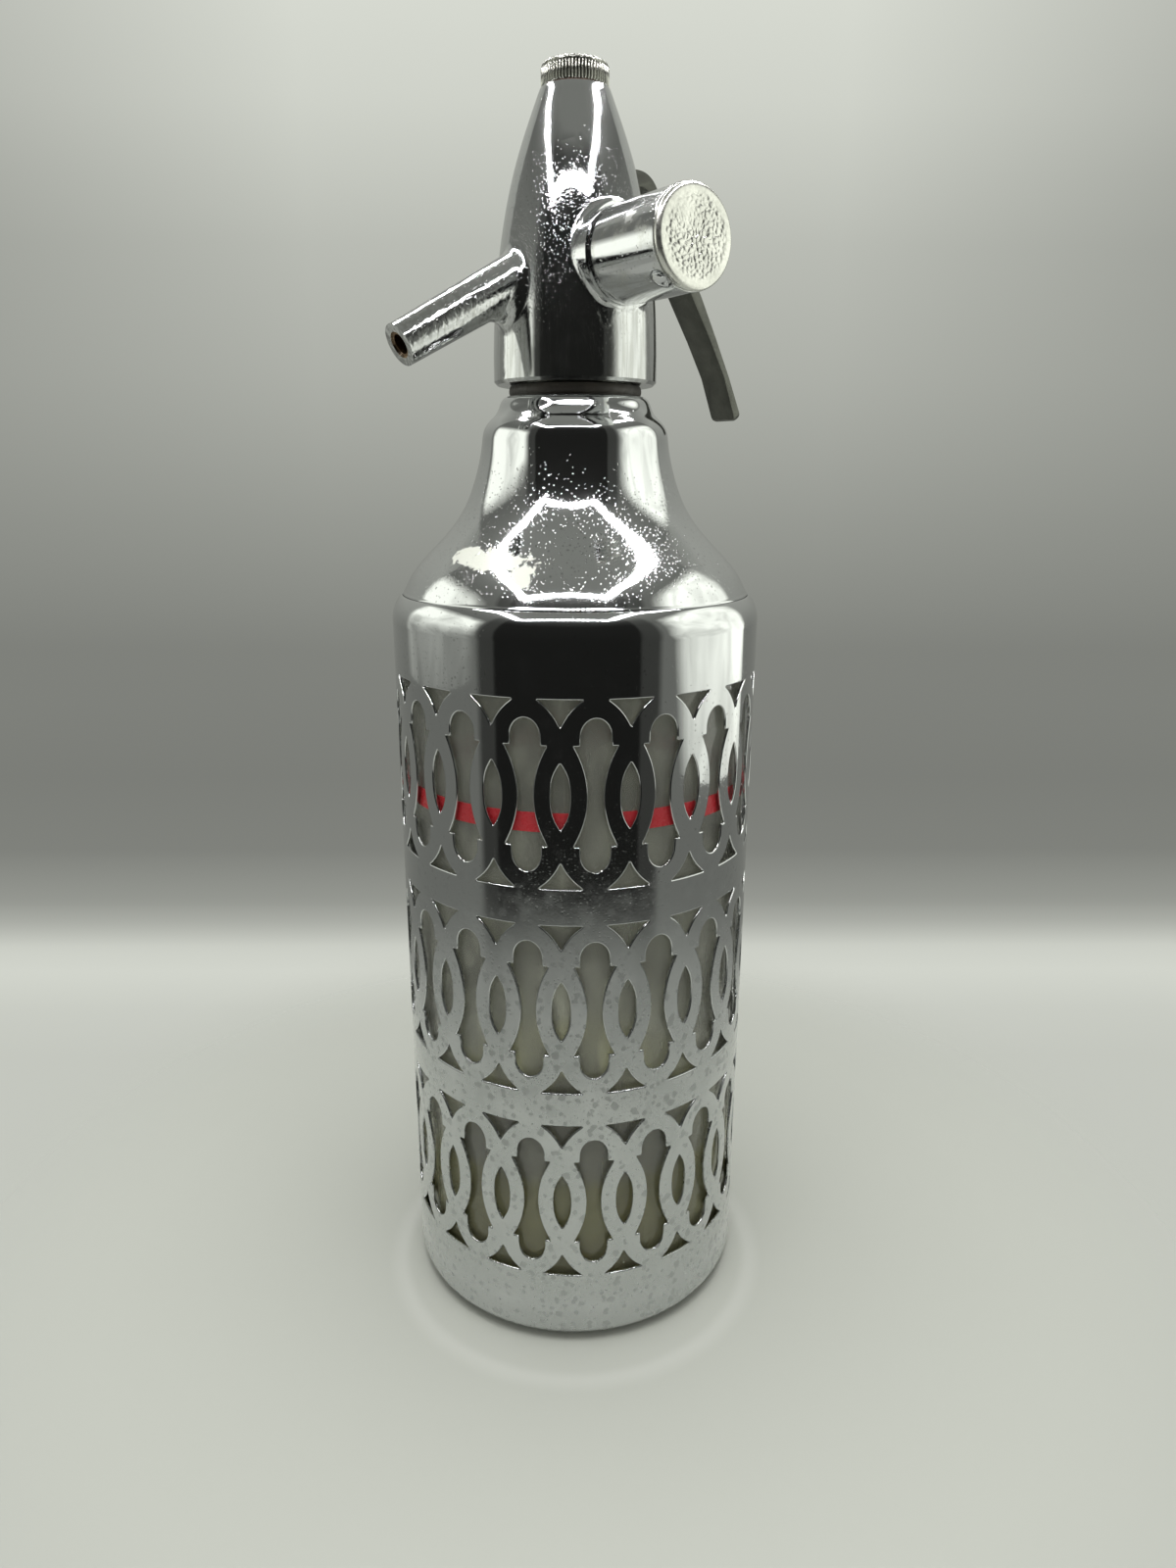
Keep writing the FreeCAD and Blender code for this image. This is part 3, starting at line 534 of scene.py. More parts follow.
def make_strips():
    """Beads of light along a frame under the roof, seen only in mirrors and glass."""
    material, tree, glow = glow_material("strip_light")
    glow.inputs["Color"].default_value = STRIP_COLOUR
    glow.inputs["Strength"].default_value = STRIP_GLOW
    verts, faces = [], []
    for (ax, ay), (bx, by) in zip(STRIP_CORNERS, STRIP_CORNERS[1:] + STRIP_CORNERS[:1]):
        run = Vector((bx - ax, by - ay))
        count = round(run.length / BEAD_PITCH)
        along = run.normalized() * BEAD_LONG / 2
        across = Vector((-along.y, along.x)) * BEAD_WIDE / BEAD_LONG
        for i in range(count):
            t = (i + 0.5) / count
            middle = Vector((ax + (bx - ax) * t, ay + (by - ay) * t))
            first = len(verts)
            verts += [(*(middle + a * along + b * across), STRIP_Z)
                      for a, b in ((-1, -1), (1, -1), (1, 1), (-1, 1))]
            faces.append((first + 3, first + 2, first + 1, first))
    strips = on_stage("lamp_strips", verts, faces, material)
    strips.visible_camera = strips.visible_diffuse = strips.visible_shadow = False
    return strips


print("beads of light", len(make_strips().data.polygons))

# %% [markdown]
# ## Stage: bright walls
# To the left and the right hang two sheets that catch more light than the rest. The bell bends their
# reflection into bright lobes, so they are real faces too, with folds from a soft noise and edges that fade
# to nothing.

# %% Bright side walls
WALL_SOFT = 0.012        # softness of a wall's back edge
SLANT_TOP = 0.245        # below this height a wall's front edge runs backwards
FOLD_SIZE, FOLD_RANGE, FOLD_GLOW = 11.0, (0.34, 0.56), (0.66, 1.05)
LEFT_WALL = ((0.17, 0.36), (0.228, 0.54), (0.266, 0.92), (0.290, 1.25), (0.325, 1.50), (0.388, 1.50),
             (0.412, 0.75), (0.435, 0.28))
RIGHT_WALL = ((0.13, 1.30), (0.19, 1.60), (0.28, 1.50), (0.33, 1.45), (0.420, 1.80), (0.445, 0.85),
              (0.465, 0.28))


def wall_material(name, y_range, front_soft, slanted, glow_by_height):
    """Glowing cloth that hangs back from the front low down, and is clear beyond its soft edges."""
    material, tree, glow = glow_material(name)
    place = add_node(tree, "ShaderNodeTexCoord").outputs["Object"]
    faced = mapped(tree, place, Rotation=(0, 0, -math.radians(STAGE_TURN)))
    split = add_node(tree, "ShaderNodeSeparateXYZ", {"Vector": faced}).outputs
    slant = spread(tree, split["Z"], SLANT_TOP, 0.0, 0.0, slanted * SLANT_TOP)
    reach = calculate(tree, "SUBTRACT", split["Y"], slant)
    edge = between(tree, reach, y_range[0] + front_soft, y_range[1] - WALL_SOFT, front_soft, WALL_SOFT)
    drape = {"Vector": faced, "Scale": FOLD_SIZE, "Detail": 3.0, "Distortion": 0.8}
    folds = add_node(tree, "ShaderNodeTexNoise", drape).outputs["Fac"]
    fill(tree, glow.inputs["Color"], height_ramp(tree, split["Z"], glow_by_height))
    fill(tree, glow.inputs["Strength"], spread(tree, folds, *FOLD_RANGE, *FOLD_GLOW))
    clear = add_node(tree, "ShaderNodeBsdfTransparent").outputs[0]
    mixed = add_node(tree, "ShaderNodeMixShader", {0: edge, 1: clear, 2: glow.outputs[0]}).outputs[0]
    tree.links.new(mixed, next(n for n in tree.nodes if n.type == "OUTPUT_MATERIAL").inputs["Surface"])
    return material


def make_wall(name, x, y_range, front_soft, slanted, glow_by_height):
    """Bright stretch of a side wall, seen only in mirrors; its glow is given for a few heights in metres."""
    (front, back), low, high = y_range, glow_by_height[0][0], glow_by_height[-1][0]
    corners = [(x, front, low), (x, back, low), (x, back, high), (x, front, high)]
    material = wall_material(name, y_range, front_soft, slanted, glow_by_height)
    wall = on_stage(name, corners, [(0, 1, 2, 3)], material)
    wall.visible_camera = wall.visible_diffuse = wall.visible_shadow = wall.visible_transmission = False
    return wall


make_wall("left_wall", -0.265, (-0.182, 0.128), 0.022, 0.15, LEFT_WALL)
make_wall("right_wall", 0.235, (-0.186, 0.112), 0.032, 0.45, RIGHT_WALL)
print("walls glow up to", max(glow for z, glow in LEFT_WALL), max(glow for z, glow in RIGHT_WALL))

# %% [markdown]
# ## Stage: roof lamp
# A wide soft lamp hangs under the roof. It could show in the chrome as a white square, so no mirror sees
# it: it only gives the matt pieces their shade and the floor its shadow.

# %% Soft roof lamp
ROOF_LAMP = (0, -0.06, 0.66)
ROOF_SIDE, ROOF_POWER = 0.46, 3.2
LAMP_TARGET = (0, 0, 0.15)


def make_roof_lamp():
    """Square area lamp that lights matt surfaces and shows in no reflection."""
    data = bpy.data.lights.new("roof_lamp", "AREA")
    data.shape = "SQUARE"
    data.size = ROOF_SIDE
    data.energy = ROOF_POWER
    lamp = bpy.data.objects.new("roof_lamp", data)
    lamp.location = Matrix.Rotation(math.radians(STAGE_TURN), 3, "Z") @ Vector(ROOF_LAMP)
    lamp.rotation_euler = (Vector(LAMP_TARGET) - lamp.location).to_track_quat("-Z", "Y").to_euler()
    lamp.visible_camera = lamp.visible_glossy = lamp.visible_transmission = False
    bpy.context.scene.collection.objects.link(lamp)
    return lamp


make_roof_lamp()

# %% [markdown]
# ## Chrome, bright and tarnished
# Old chrome is a mirror with a history: polishing left it faintly wavy, salt ate pits into it, and a thin
# cloudy film dulls parts of it. A flat metal shader shows none of that. Noises at three sizes bend the
# reflection, and small round cells make the pits. A pit is a dent: beside a lamp's reflection it catches
# the lamp and sparkles, and elsewhere it is a dark dot. A weak rough coat gives the glow round the lamps.

# %% Chrome
CHROME = (0.60, 0.61, 0.615, 1)
PITTED = (0.24, 0.24, 0.23, 1)
SLOW_WAVES, SHORT_WAVES, GRAIN_SIZE = 24.0, 150.0, 1150.0   # noises, in features to the metre
WAVE_DEPTH, SHORT_DEPTH = 0.09, 0.012                       # in millimetres
PIT_CELLS = (1300.0, 700.0)                                 # small and large, in cells to the metre
HEAD_PIT_CELLS = (1900.0, 1150.0)
PIT_EDGE = (0.36, 0.10)          # a pit fades out between these distances from its cell's middle
COAT = {"Coat Weight": 1.0, "Coat Roughness": 0.13}
POLISHED = 0.045                 # roughness of clean plating
PIT_ROUGH, FILM_ROUGH = 0.10, 0.16
PIT_DARK = 0.45                  # how far a pit goes towards its own dark tone
WORN, CLOUDY = (0.40, 0.72), (0.48, 0.75)     # levels of noise where grain and film set in


def pit_mask(finish, scale, share, crowd, place):
    """Small round pits in a share of the cells of a size, denser where a slow value is high."""
    cells = finish.cells(scale, place)
    luck = finish.part(cells["Color"], "X")
    chance = finish.plus(luck, finish.stretch(crowd, 0.25, 0.75, -0.35, 0.35, kind="LINEAR"))
    kept = finish.stretch(chance, 1.0 - share, 1.04 - share)
    return finish.times(kept, finish.stretch(cells["Distance"], *PIT_EDGE))


def chrome_finish(name, pits=0.22, film=0.3, wave=1.0, shift=0.0, crowd=None, depth=0.035, grain=0.02,
                  cells=PIT_CELLS):
    """Polished plating with waves, pits and a little film; depth and grain are in mm."""
    finish = Finish(name, **{"Metallic": 1.0, "Base Color": CHROME, **COAT})
    place = mapped(finish.tree, finish.place, Location=(shift, shift, shift))
    slow = finish.noise(SLOW_WAVES, detail=1.5, place=place)
    short = finish.noise(SHORT_WAVES, place=place)
    crowded = crowd(finish) if crowd else slow
    fine = finish.noise(GRAIN_SIZE, detail=2.0, place=place)
    worn = finish.times(fine, finish.stretch(crowded, *WORN))
    pitted = finish.larger(pit_mask(finish, cells[0], pits, crowded, place),
                           pit_mask(finish, cells[1], pits * 0.5, crowded, place))
    cloudy = finish.times(finish.stretch(short, *CLOUDY), film)
    rough = finish.plus(finish.times(pitted, PIT_ROUGH), finish.times(cloudy, FILM_ROUGH))
    finish.rough = finish.plus(rough, POLISHED)
    finish.tone = finish.mix(finish.times(pitted, PIT_DARK), CHROME, PITTED)
    normal = finish.bump(slow, WAVE_DEPTH * wave, 0.5)
    normal = finish.bump(short, SHORT_DEPTH * wave, 0.6, after=normal)
    normal = finish.bump(worn, grain, after=normal)
    finish.normal = finish.bump(pitted, -depth, after=normal)
    finish.set(Roughness=finish.rough, Base_Color=finish.tone, Normal=finish.normal)
    return finish


bright_chrome = chrome_finish("bright_chrome").material
print("nodes in plain chrome", len(bright_chrome.node_tree.nodes))

# %% [markdown]
# ## Plating of the head
# Hands and drips reach the neck of the cone, so the pits crowd there. The foot of the cone is darker and
# rougher in upright streaks, and the spout was hammered to its shape. Each is the same chrome with a mask by
# height or by distance. Painting the masks by hand would need an image, and a formula doesn't.

# %% Head
CROWD_DRIFT = 60.0                           # patches in which pits crowd, to the metre
NECK_OF_CONE = ((0.300, 0.330), (0.366, 0.345))   # heights between which the crowding comes and goes
FOOT_OF_HEAD = (0.330, 0.315)
SPOUT_FROM = (-0.022, -0.028)
UPRIGHT = (1.0, 1.0, 0.06)                   # draws a noise out along the height
FOOT_MARKS, HAMMER_MARKS = 800.0, 330.0
DULL_FOOT = (0.38, 0.385, 0.37, 1)
HAMMER_DEPTH = 0.22


def crowd_in_band(finish, limits, in_band, by_drift):
    """Crowding of pits in a band of heights, broken up by a slow noise."""
    height = finish.height()
    band = finish.times(finish.stretch(height, *limits[0]), finish.stretch(height, *limits[1]))
    drift = finish.noise(CROWD_DRIFT)
    return finish.plus(finish.times(band, in_band), finish.times(drift, by_drift))


def worn_front(finish):
    """Crowding on the head: thickest round the neck of the cone."""
    return crowd_in_band(finish, NECK_OF_CONE, in_band=0.42, by_drift=0.55)


def head_finish():
    """The head's plating, darker and rougher in upright streaks on its foot, and with a lumpy spout."""
    finish = chrome_finish("head_chrome", pits=0.30, wave=1.5, shift=0.9, crowd=worn_front, depth=0.022,
                           grain=0.03, cells=HEAD_PIT_CELLS)
    marks = finish.stretch(finish.noise(FOOT_MARKS, place=finish.drawn(*UPRIGHT)), 0.40, 0.65)
    foot = finish.stretch(finish.height(), *FOOT_OF_HEAD)
    dull = finish.times(foot, finish.stretch(marks, 0.0, 1.0, 0.35, 0.85))
    spout = finish.stretch(finish.part(finish.place, "X"), *SPOUT_FROM)
    hammered = finish.times(finish.noise(HAMMER_MARKS, detail=2.5, warp=0.6), spout)
    finish.set(Base_Color=finish.mix(dull, finish.tone, DULL_FOOT),
               Roughness=finish.plus(finish.rough, finish.times(dull, 0.12)),
               Normal=finish.bump(hammered, HAMMER_DEPTH, after=finish.normal))
    return finish.material


head_chrome = head_finish()
print("nodes in the head's chrome", len(head_chrome.node_tree.nodes))

# %% [markdown]
# ## Plating of the can
# The can stood in wet sinks: its top is still bright, and towards the foot it is clouded and spotted. Round
# stains come from cells whose distance is made ragged by a noise. One cell size would look like a pattern,
# so there are two sizes, with a drift that leaves some places clean.

# %% Can
FILM = (0.50, 0.52, 0.52, 1)
STAINED = (0.30, 0.31, 0.31, 1)
TARNISH = (0.200, 0.120)                     # grows from none to full between these heights
TARNISH_DRIFT, TARNISH_SHIFT = 30.0, 0.03    # its edge wanders up and down by a few centimetres
STAIN_CELLS = ((430.0, 40.0, 0.40), (230.0, 24.0, 0.34))    # cells, their drift, and a stain's edge
RAG_SIZE, RAG_REACH = 620.0, 0.60
STAIN_LUCK = (0.98, 1.12)                    # a cell is stained where luck and drift add up to this
SPECK_SIZE, SPECK_LEVELS, SPECK_SHARE = 850.0, (0.60, 0.68), 0.45
CLOUD_SIZE, CLOUD_LEVELS = 55.0, (0.25, 0.60, 0.55, 1.0)


def can_stains(finish):
    """Ragged round stains of two sizes, and fine specks between them."""
    rag = finish.times(finish.noise(RAG_SIZE, rough=0.65), RAG_REACH)
    rag = finish.minus(rag, RAG_REACH / 2)
    stains = []
    for scale, drift, edge in STAIN_CELLS:
        cells = finish.cells(scale)
        luck = finish.plus(finish.part(cells["Color"], "Y"), finish.noise(drift, detail=2.0))
        shape = finish.stretch(finish.plus(cells["Distance"], rag), edge, edge - 0.10)
        stains.append(finish.times(shape, finish.stretch(luck, *STAIN_LUCK)))
    specks = finish.stretch(finish.noise(SPECK_SIZE, rough=0.65), *SPECK_LEVELS)
    return finish.larger(finish.larger(*stains), finish.times(specks, SPECK_SHARE))


def can_finish():
    """Plating of the can: bright at the top, clouded and spotted with tarnish towards the foot."""
    finish = chrome_finish("can_chrome", pits=0.07, film=0.4, wave=1.2, shift=0.4, depth=0.01, grain=0.006)
    drift = finish.times(finish.noise(TARNISH_DRIFT, detail=2.0), TARNISH_SHIFT)
    low = finish.stretch(finish.plus(finish.height(), drift), *TARNISH)
    stain = finish.times(can_stains(finish), low)
    cloud = finish.stretch(finish.noise(CLOUD_SIZE, detail=4.0), *CLOUD_LEVELS)
    cloud = finish.times(cloud, low)
    dulled = finish.mix(finish.times(cloud, 0.75), finish.tone, FILM)
    added = finish.plus(finish.times(stain, 0.12), finish.times(cloud, 0.22))
    finish.set(Base_Color=finish.mix(finish.times(stain, 0.42), dulled, STAINED),
               Roughness=finish.plus(finish.rough, added, clamp=True))
    return finish.material


can_chrome = can_finish()
print("nodes in the can's chrome", len(can_chrome.node_tree.nodes))

# %% [markdown]
# ## Peeled plating on the bell
# On the shoulder a patch of plating has blistered off and left a pale matt scar with a ragged edge. It is
# the same chrome with one more mask: the distance from the middle of three flat ovals, made ragged by a
# noise. Modelling the broken edge would add thousands of faces to a step that is thinner than paper.

# %% The scar on the shoulder
SCAR_PARTS = (   # middle, half sizes along and across the shoulder and upwards, in metres
    ((-0.0405, -0.0185, 0.2508), (0.0120, 0.0070, 0.0028)),
    ((-0.0440, -0.0085, 0.2522), (0.0050, 0.0050, 0.0032)),
    ((-0.0385, -0.0295, 0.2475), (0.0034, 0.0050, 0.0040)))
SCAR_TURN = math.radians(63.7)    # turns the run of the scar on to X
SCAR = (0.66, 0.675, 0.60, 1)
SCAR_RAG, SCAR_RAGGED_BY = 400.0, 2.8
SCAR_EDGE = (2.36, 2.30)
SCAR_ROUGH, SCAR_METAL = 0.6, 0.8            # its roughness, and how much of the metal it hides
WAIST_OF_BELL = ((0.238, 0.246), (0.284, 0.266))


def worn_shoulder(finish):
    """Crowding on the bell: a drifting band round its waist."""
    return crowd_in_band(finish, WAIST_OF_BELL, in_band=0.30, by_drift=0.60)


def scar_mask(finish):
    """1 inside the ragged outline of the scar's three parts."""
    ragged = finish.times(finish.noise(SCAR_RAG, detail=6.0, rough=0.72), SCAR_RAGGED_BY)
    scar = 0.0
    for middle, size in SCAR_PARTS:
        offset = combine(finish.tree, "SUBTRACT", finish.place, middle)
        turned = mapped(finish.tree, offset, Rotation=(0, 0, SCAR_TURN))
        reach = combine(finish.tree, "LENGTH", combine(finish.tree, "DIVIDE", turned, size))
        scar = finish.larger(finish.stretch(finish.plus(reach, ragged), *SCAR_EDGE), scar)
    return scar


def bell_finish():
    """Plating of the bell, peeled off where the scar is."""
    finish = chrome_finish("bell_chrome", pits=0.30, wave=0.55, shift=0.2, crowd=worn_shoulder, grain=0.03)
    scar = scar_mask(finish)
    finish.set(Base_Color=finish.mix(scar, finish.tone, SCAR),
               Roughness=finish.stretch(scar, 0.0, 1.0, finish.rough, SCAR_ROUGH, kind="LINEAR"),
               Metallic=finish.minus(1.0, finish.times(scar, SCAR_METAL)))
    return finish.material


bell_chrome = bell_finish()
print("parts of the scar", len(SCAR_PARTS))

# %% [markdown]
# ## Stained plating on the holder
# The charger holder is unscrewed for every filling, so it is stained by hands and finely scratched along its
# length. A noise that is drawn out along one axis gives scratches, and a round one gives the stains.

# %% The stains on the holder
LENGTHWISE = (1.0, 0.12, 1.0)
SCRATCHES, HAND_STAINS = 900.0, 130.0
HAND_STAINED = (0.50, 0.50, 0.44, 1)


def holder_finish():
    """Plating of the holder, scratched lengthwise and stained in patches."""
    finish = chrome_finish("holder_chrome", wave=1.3, shift=0.7)
    scratch = finish.stretch(finish.noise(SCRATCHES, place=finish.drawn(*LENGTHWISE)), 0.40, 0.72)
    stain = finish.stretch(finish.noise(HAND_STAINS, detail=4.0, rough=0.6), 0.46, 0.66)
    added = finish.plus(finish.times(stain, 0.22), finish.times(scratch, 0.10))
    finish.set(Base_Color=finish.mix(finish.times(stain, 0.5), finish.tone, HAND_STAINED),
               Roughness=finish.plus(finish.rough, added))
    return finish.material


holder_chrome = holder_finish()
print("chrome finishes", [m.name for m in bpy.data.materials if m.name.endswith("chrome")])

# %% [markdown]
# ## Glass
# The bottle is thick, faintly grey and a little uneven, as blown glass is, and olive in its heavy base. Years
# of dust behind the openings have dulled it. Perfect glass would show the hollow inside too clearly, so a
# drawn-out noise makes it rough in streaks, and two soft bumps bend what is seen through it.

# %% Glass
GLASS = (0.72, 0.725, 0.66, 1)
THICK_GLASS = (0.74, 0.73, 0.50, 1)
THICK_BELOW = (0.062, 0.056)
FALLING = (1.0, 1.0, 0.15)
RIPPLE_SIZE, STREAK_SIZE, DUST_SIZE = 34.0, 110.0, 140.0
RIPPLE_DEPTH, STREAK_DEPTH = 0.6, 0.16


def glass_finish():
    """Thick grey glass, olive in its base and dulled by dust."""
    finish = Finish("clear_glass", **{"Transmission Weight": 0.86, "IOR": 1.5})
    falling = finish.drawn(*FALLING)
    dust = finish.stretch(finish.noise(DUST_SIZE, place=falling), 0.35, 0.70, 0.13, 0.28)
    ripple = finish.bump(finish.noise(RIPPLE_SIZE, detail=2.0), RIPPLE_DEPTH, 0.8)
    streaks = finish.noise(STREAK_SIZE, detail=2.0, place=falling)
    thick = finish.stretch(finish.height(), *THICK_BELOW)
    finish.set(Base_Color=finish.mix(thick, GLASS, THICK_GLASS), Roughness=dust,
               Normal=finish.bump(streaks, STREAK_DEPTH, 0.8, after=ripple))
    return finish.material


clear_glass = glass_finish()
print("glass", clear_glass.name)

# %% [markdown]
# ## Plain finishes
# The other finishes are plain workshop ones: enamel, rubber, cork, fibre, brass, turned steel and cast zinc.
# Each has its own two tones and its own grain, because flat colour looks like plastic, and one function
# makes them all from a table.


# %% Enamel, rubber, cork and plain metals
def grained(name, colour, dark, rough, scale, depth, metallic=0.0, **shader):
    """Finish whose colour drifts between two tones, with a grain of a given size and depth in mm."""
    finish = Finish(name, **{"Metallic": metallic, **shader})
    slow = finish.stretch(finish.noise(scale * 0.12), 0.35, 0.65)
    fine = finish.noise(scale, detail=4.0, rough=0.6)
    drift = finish.times(finish.plus(slow, fine), 0.5)
    finish.set(Base_Color=finish.mix(drift, (*colour, 1), (*dark, 1)),
               Roughness=finish.stretch(fine, 0.3, 0.7, rough * 0.85, min(1.0, rough * 1.2)),
               Normal=finish.bump(fine, depth, 0.7))
    return finish.material


PLAIN = {   # tone, darker tone, roughness, features of the grain to the metre, their depth, and metallic
    "red_enamel": ((0.56, 0.04, 0.05), (0.44, 0.03, 0.035), 0.28, 500, 0.01),
    # brown rubber: partly its own dark tone, partly painted shade of the gap under the head where the gasket
    # sits
    "brown_rubber": ((0.050, 0.042, 0.032), (0.028, 0.024, 0.018), 0.5, 900, 0.03),
    "black_rubber": ((0.030, 0.030, 0.030), (0.018, 0.018, 0.018), 0.55, 900, 0.02),
    "cork": ((0.42, 0.27, 0.14), (0.20, 0.12, 0.06), 0.85, 420, 0.15),
    "fibre": ((0.16, 0.07, 0.045), (0.10, 0.045, 0.03), 0.6, 700, 0.02),
    "white_plastic": ((0.74, 0.73, 0.68), (0.66, 0.64, 0.57), 0.38, 500, 0.01),
    "brass": ((0.30, 0.20, 0.11), (0.14, 0.085, 0.045), 0.32, 900, 0.02, 1.0),
    "stainless": ((0.58, 0.57, 0.55), (0.48, 0.47, 0.46), 0.22, 600, 0.005, 1.0),
    "steel": ((0.50, 0.50, 0.49), (0.38, 0.38, 0.38), 0.30, 500, 0.01, 1.0),
    "zinc_plate": ((0.52, 0.54, 0.48), (0.42, 0.43, 0.38), 0.38, 300, 0.02, 1.0),
    "rib_zinc": ((0.60, 0.60, 0.55), (0.38, 0.38, 0.34), 0.26, 1100, 0.02, 1.0),
    "cast_grey": ((0.74, 0.74, 0.69), (0.54, 0.54, 0.50), 0.30, 1100, 0.03, 1.0),
    # lever: partly its own dark cast metal, partly painted shade of its face, which turns away from the light
    "lever_grey": ((0.115, 0.118, 0.100), (0.065, 0.066, 0.056), 0.36, 1300, 0.03, 0.7)}
plain_finish = {name: grained(name, *values) for name, values in PLAIN.items()}
grained("clear_plastic", (0.86, 0.86, 0.82), (0.80, 0.79, 0.72), 0.16, 300, 0.01,
        **{"Transmission Weight": 0.85, "IOR": 1.49})
print("finishes so far", len(bpy.data.materials))

# %% [markdown]
# ## Zinc of the spring cap
# The small cap is cast zinc. It is dark below the top of its rim, where the ribs stand, and bright on the
# rim's top and the dome, so the tone changes with height over less than a millimetre.

# %% Zinc of the spring cap, and a finish for every node
# dark below the top of the rim, between the ribs, and mottled bright above; the step lies between two heights
# in metres
CAP_LOW_TONE, CAP_DARK, CAP_BRIGHT = (0.14, 0.14, 0.12, 1), (0.34, 0.34, 0.30, 1), (0.84, 0.84, 0.79, 1)
CAP_TONE_STEP = (0.3822, 0.3829)


def cap_finish():
    """Cast zinc of the spring cap: dark below the top of the rim, between the ribs, and bright above."""
    finish = Finish("cap_zinc", Metallic=1.0)
    fine = finish.noise(1400.0, rough=0.65)
    bright = finish.mix(finish.stretch(fine, 0.35, 0.65), CAP_DARK, CAP_BRIGHT)
    worn = finish.stretch(finish.height(), *CAP_TONE_STEP)
    finish.set(Base_Color=finish.mix(worn, CAP_LOW_TONE, bright),
               Roughness=finish.stretch(fine, 0.3, 0.7, 0.22, 0.40), Normal=finish.bump(fine, 0.05, 0.8))
    return finish.material


cap_zinc = cap_finish()
for name, node in nodes.items():
    for material_slot in node.material_slots:
        material_slot.material = bpy.data.materials[slot_of[name]]
print("finishes", sorted(set(slot_of.values())))

# %% [markdown]
# ## Pierced can
# The can is plated sheet, punched with three rows of dog-bone, lens and wedge openings and then rolled.
# The pattern follows a rule, so one tile of it is drawn flat: a lens, a wedge above and below it, and half
# a bone at each side. Cutting the openings out of a cylinder with booleans would leave long thin faces,
# and their shading shows at once on a mirror. First come the outlines of the openings, in millimetres.

# %% Sizes of the can and its openings
can_r, can_low, can_high = size_of("jacket_body")
SHEET = 0.8
COLUMNS = 18
ROW_MIDDLE = 54.1                # height of the lowest row
ROW_PITCH = 66.75
ROWS = 3
FIRST_TURN = -39.24              # azimuth of one column of lenses, from -Y towards +X
TILE = (2 * math.pi * can_r / COLUMNS, ROW_PITCH)
LENS = (2.8, 9.8)                # half width and half height
LENS_SHOULDER = (0.62, 0.68)     # a point on its outline, as shares of those
BONE_TIP, BONE_LOBE, BONE_DOME = 22.5, 4.4, 17.0
BONE_EAR = (6.3, 14.75)
BONE_WAIST = 2.25
WEDGE_APEX, WEDGE_BASE = 19.75, (6.5, 27.65)
WEDGE_BOW = (0.33, 0.48)         # a point on its bowed side, as shares of its half width and height
print("tile of the can, mm", [round(side, 2) for side in TILE])


# %% Outlines of the openings
def arc_through(a, b, c, steps):
    """Points on the arc from a through b to c."""
    (ax, ay), (bx, by), (cx, cy) = a, b, c
    twice = 2 * (ax * (by - cy) + bx * (cy - ay) + cx * (ay - by))
    sa, sb, sc = ax * ax + ay * ay, bx * bx + by * by, cx * cx + cy * cy
    centre = ((sa * (by - cy) + sb * (cy - ay) + sc * (ay - by)) / twice,
              (sa * (cx - bx) + sb * (ax - cx) + sc * (bx - ax)) / twice)
    radius = math.hypot(ax - centre[0], ay - centre[1])
    start, middle, stop = (math.degrees(math.atan2(y - centre[1], x - centre[0])) for x, y in (a, b, c))
    sweep, part = (stop - start) % 360, (middle - start) % 360
    return arc(centre, radius, start, start + (sweep if part < sweep else sweep - 360), steps)


def lens_half():
    """Right half of a lens, from its top to its foot."""
    wide, tall = LENS
    u, z = LENS_SHOULDER[0] * wide, LENS_SHOULDER[1] * tall
    return smooth_line([(0, tall), (u, z), (wide, 0), (u, -z), (0, -tall)], 0.3)


def bone_half():
    """Right half of a dog bone: a dome, a waist bowed in between two ears, and a dome."""
    dome = [(BONE_LOBE * math.sin(a), BONE_DOME + (BONE_TIP - BONE_DOME) * math.cos(a))
            for a in np.linspace(0, math.pi / 2, 16)]
    upper = dome + [(BONE_LOBE, BONE_EAR[1] - 0.15)]
    lower = [(u, -z) for u, z in reversed(upper)]
    waist = arc_through(BONE_EAR, (BONE_WAIST, 0), (BONE_EAR[0], -BONE_EAR[1]), 48)
    return upper + waist + lower


def wedge_half(side):
    """Right half of the wedge above a lens, for side 1, or below it, for side -1."""
    base_u, base_z = WEDGE_BASE
    bow = (WEDGE_BOW[0] * base_u, WEDGE_APEX + WEDGE_BOW[1] * (base_z - WEDGE_APEX))
    half = [(0, base_z)] + arc_through((base_u, base_z), bow, (0, WEDGE_APEX), 24)
    return half if side > 0 else [(u, -z) for u, z in reversed(half)]


print("corners drawn for half a bone", len(bone_half()))

# %% Rounded corners
OUTLINE_STEP = 0.15
SOFTENING = 9                    # passes that round the corners of an outline
TURN_LIMIT = 13                  # a point is kept where the outline has turned by so many degrees
STEP_LIMIT, LAST_STEP = 1.7, 0.3     # the longest step between kept points, and the shortest at the foot


def softened(half):
    """Right half of an opening, corners rounded: rows of u, z and the outward way."""
    half = np.array(half)
    loop = np.vstack([half, half[-2::-1] * (-1, 1)])
    along = np.concatenate([[0.0], np.cumsum(np.linalg.norm(np.diff(loop, axis=0), axis=1))])
    count = 2 * round(along[-1] / OUTLINE_STEP / 2)
    places = np.arange(count) * along[-1] / count
    dense = np.stack([np.interp(places, along, loop[:, k]) for k in (0, 1)], axis=1)
    for _ in range(SOFTENING):
        dense = (np.roll(dense, 1, 0) + 2 * dense + np.roll(dense, -1, 0)) / 4
    run = np.roll(dense, -1, 0) - np.roll(dense, 1, 0)
    run /= np.linalg.norm(run, axis=1)[:, None]
    rows = np.hstack([dense, np.stack([-run[:, 1], run[:, 0]], axis=1)])[:count // 2 + 1]
    rows[0, [0, 2]] = rows[-1, [0, 2]] = 0.0
    return thinned(rows)


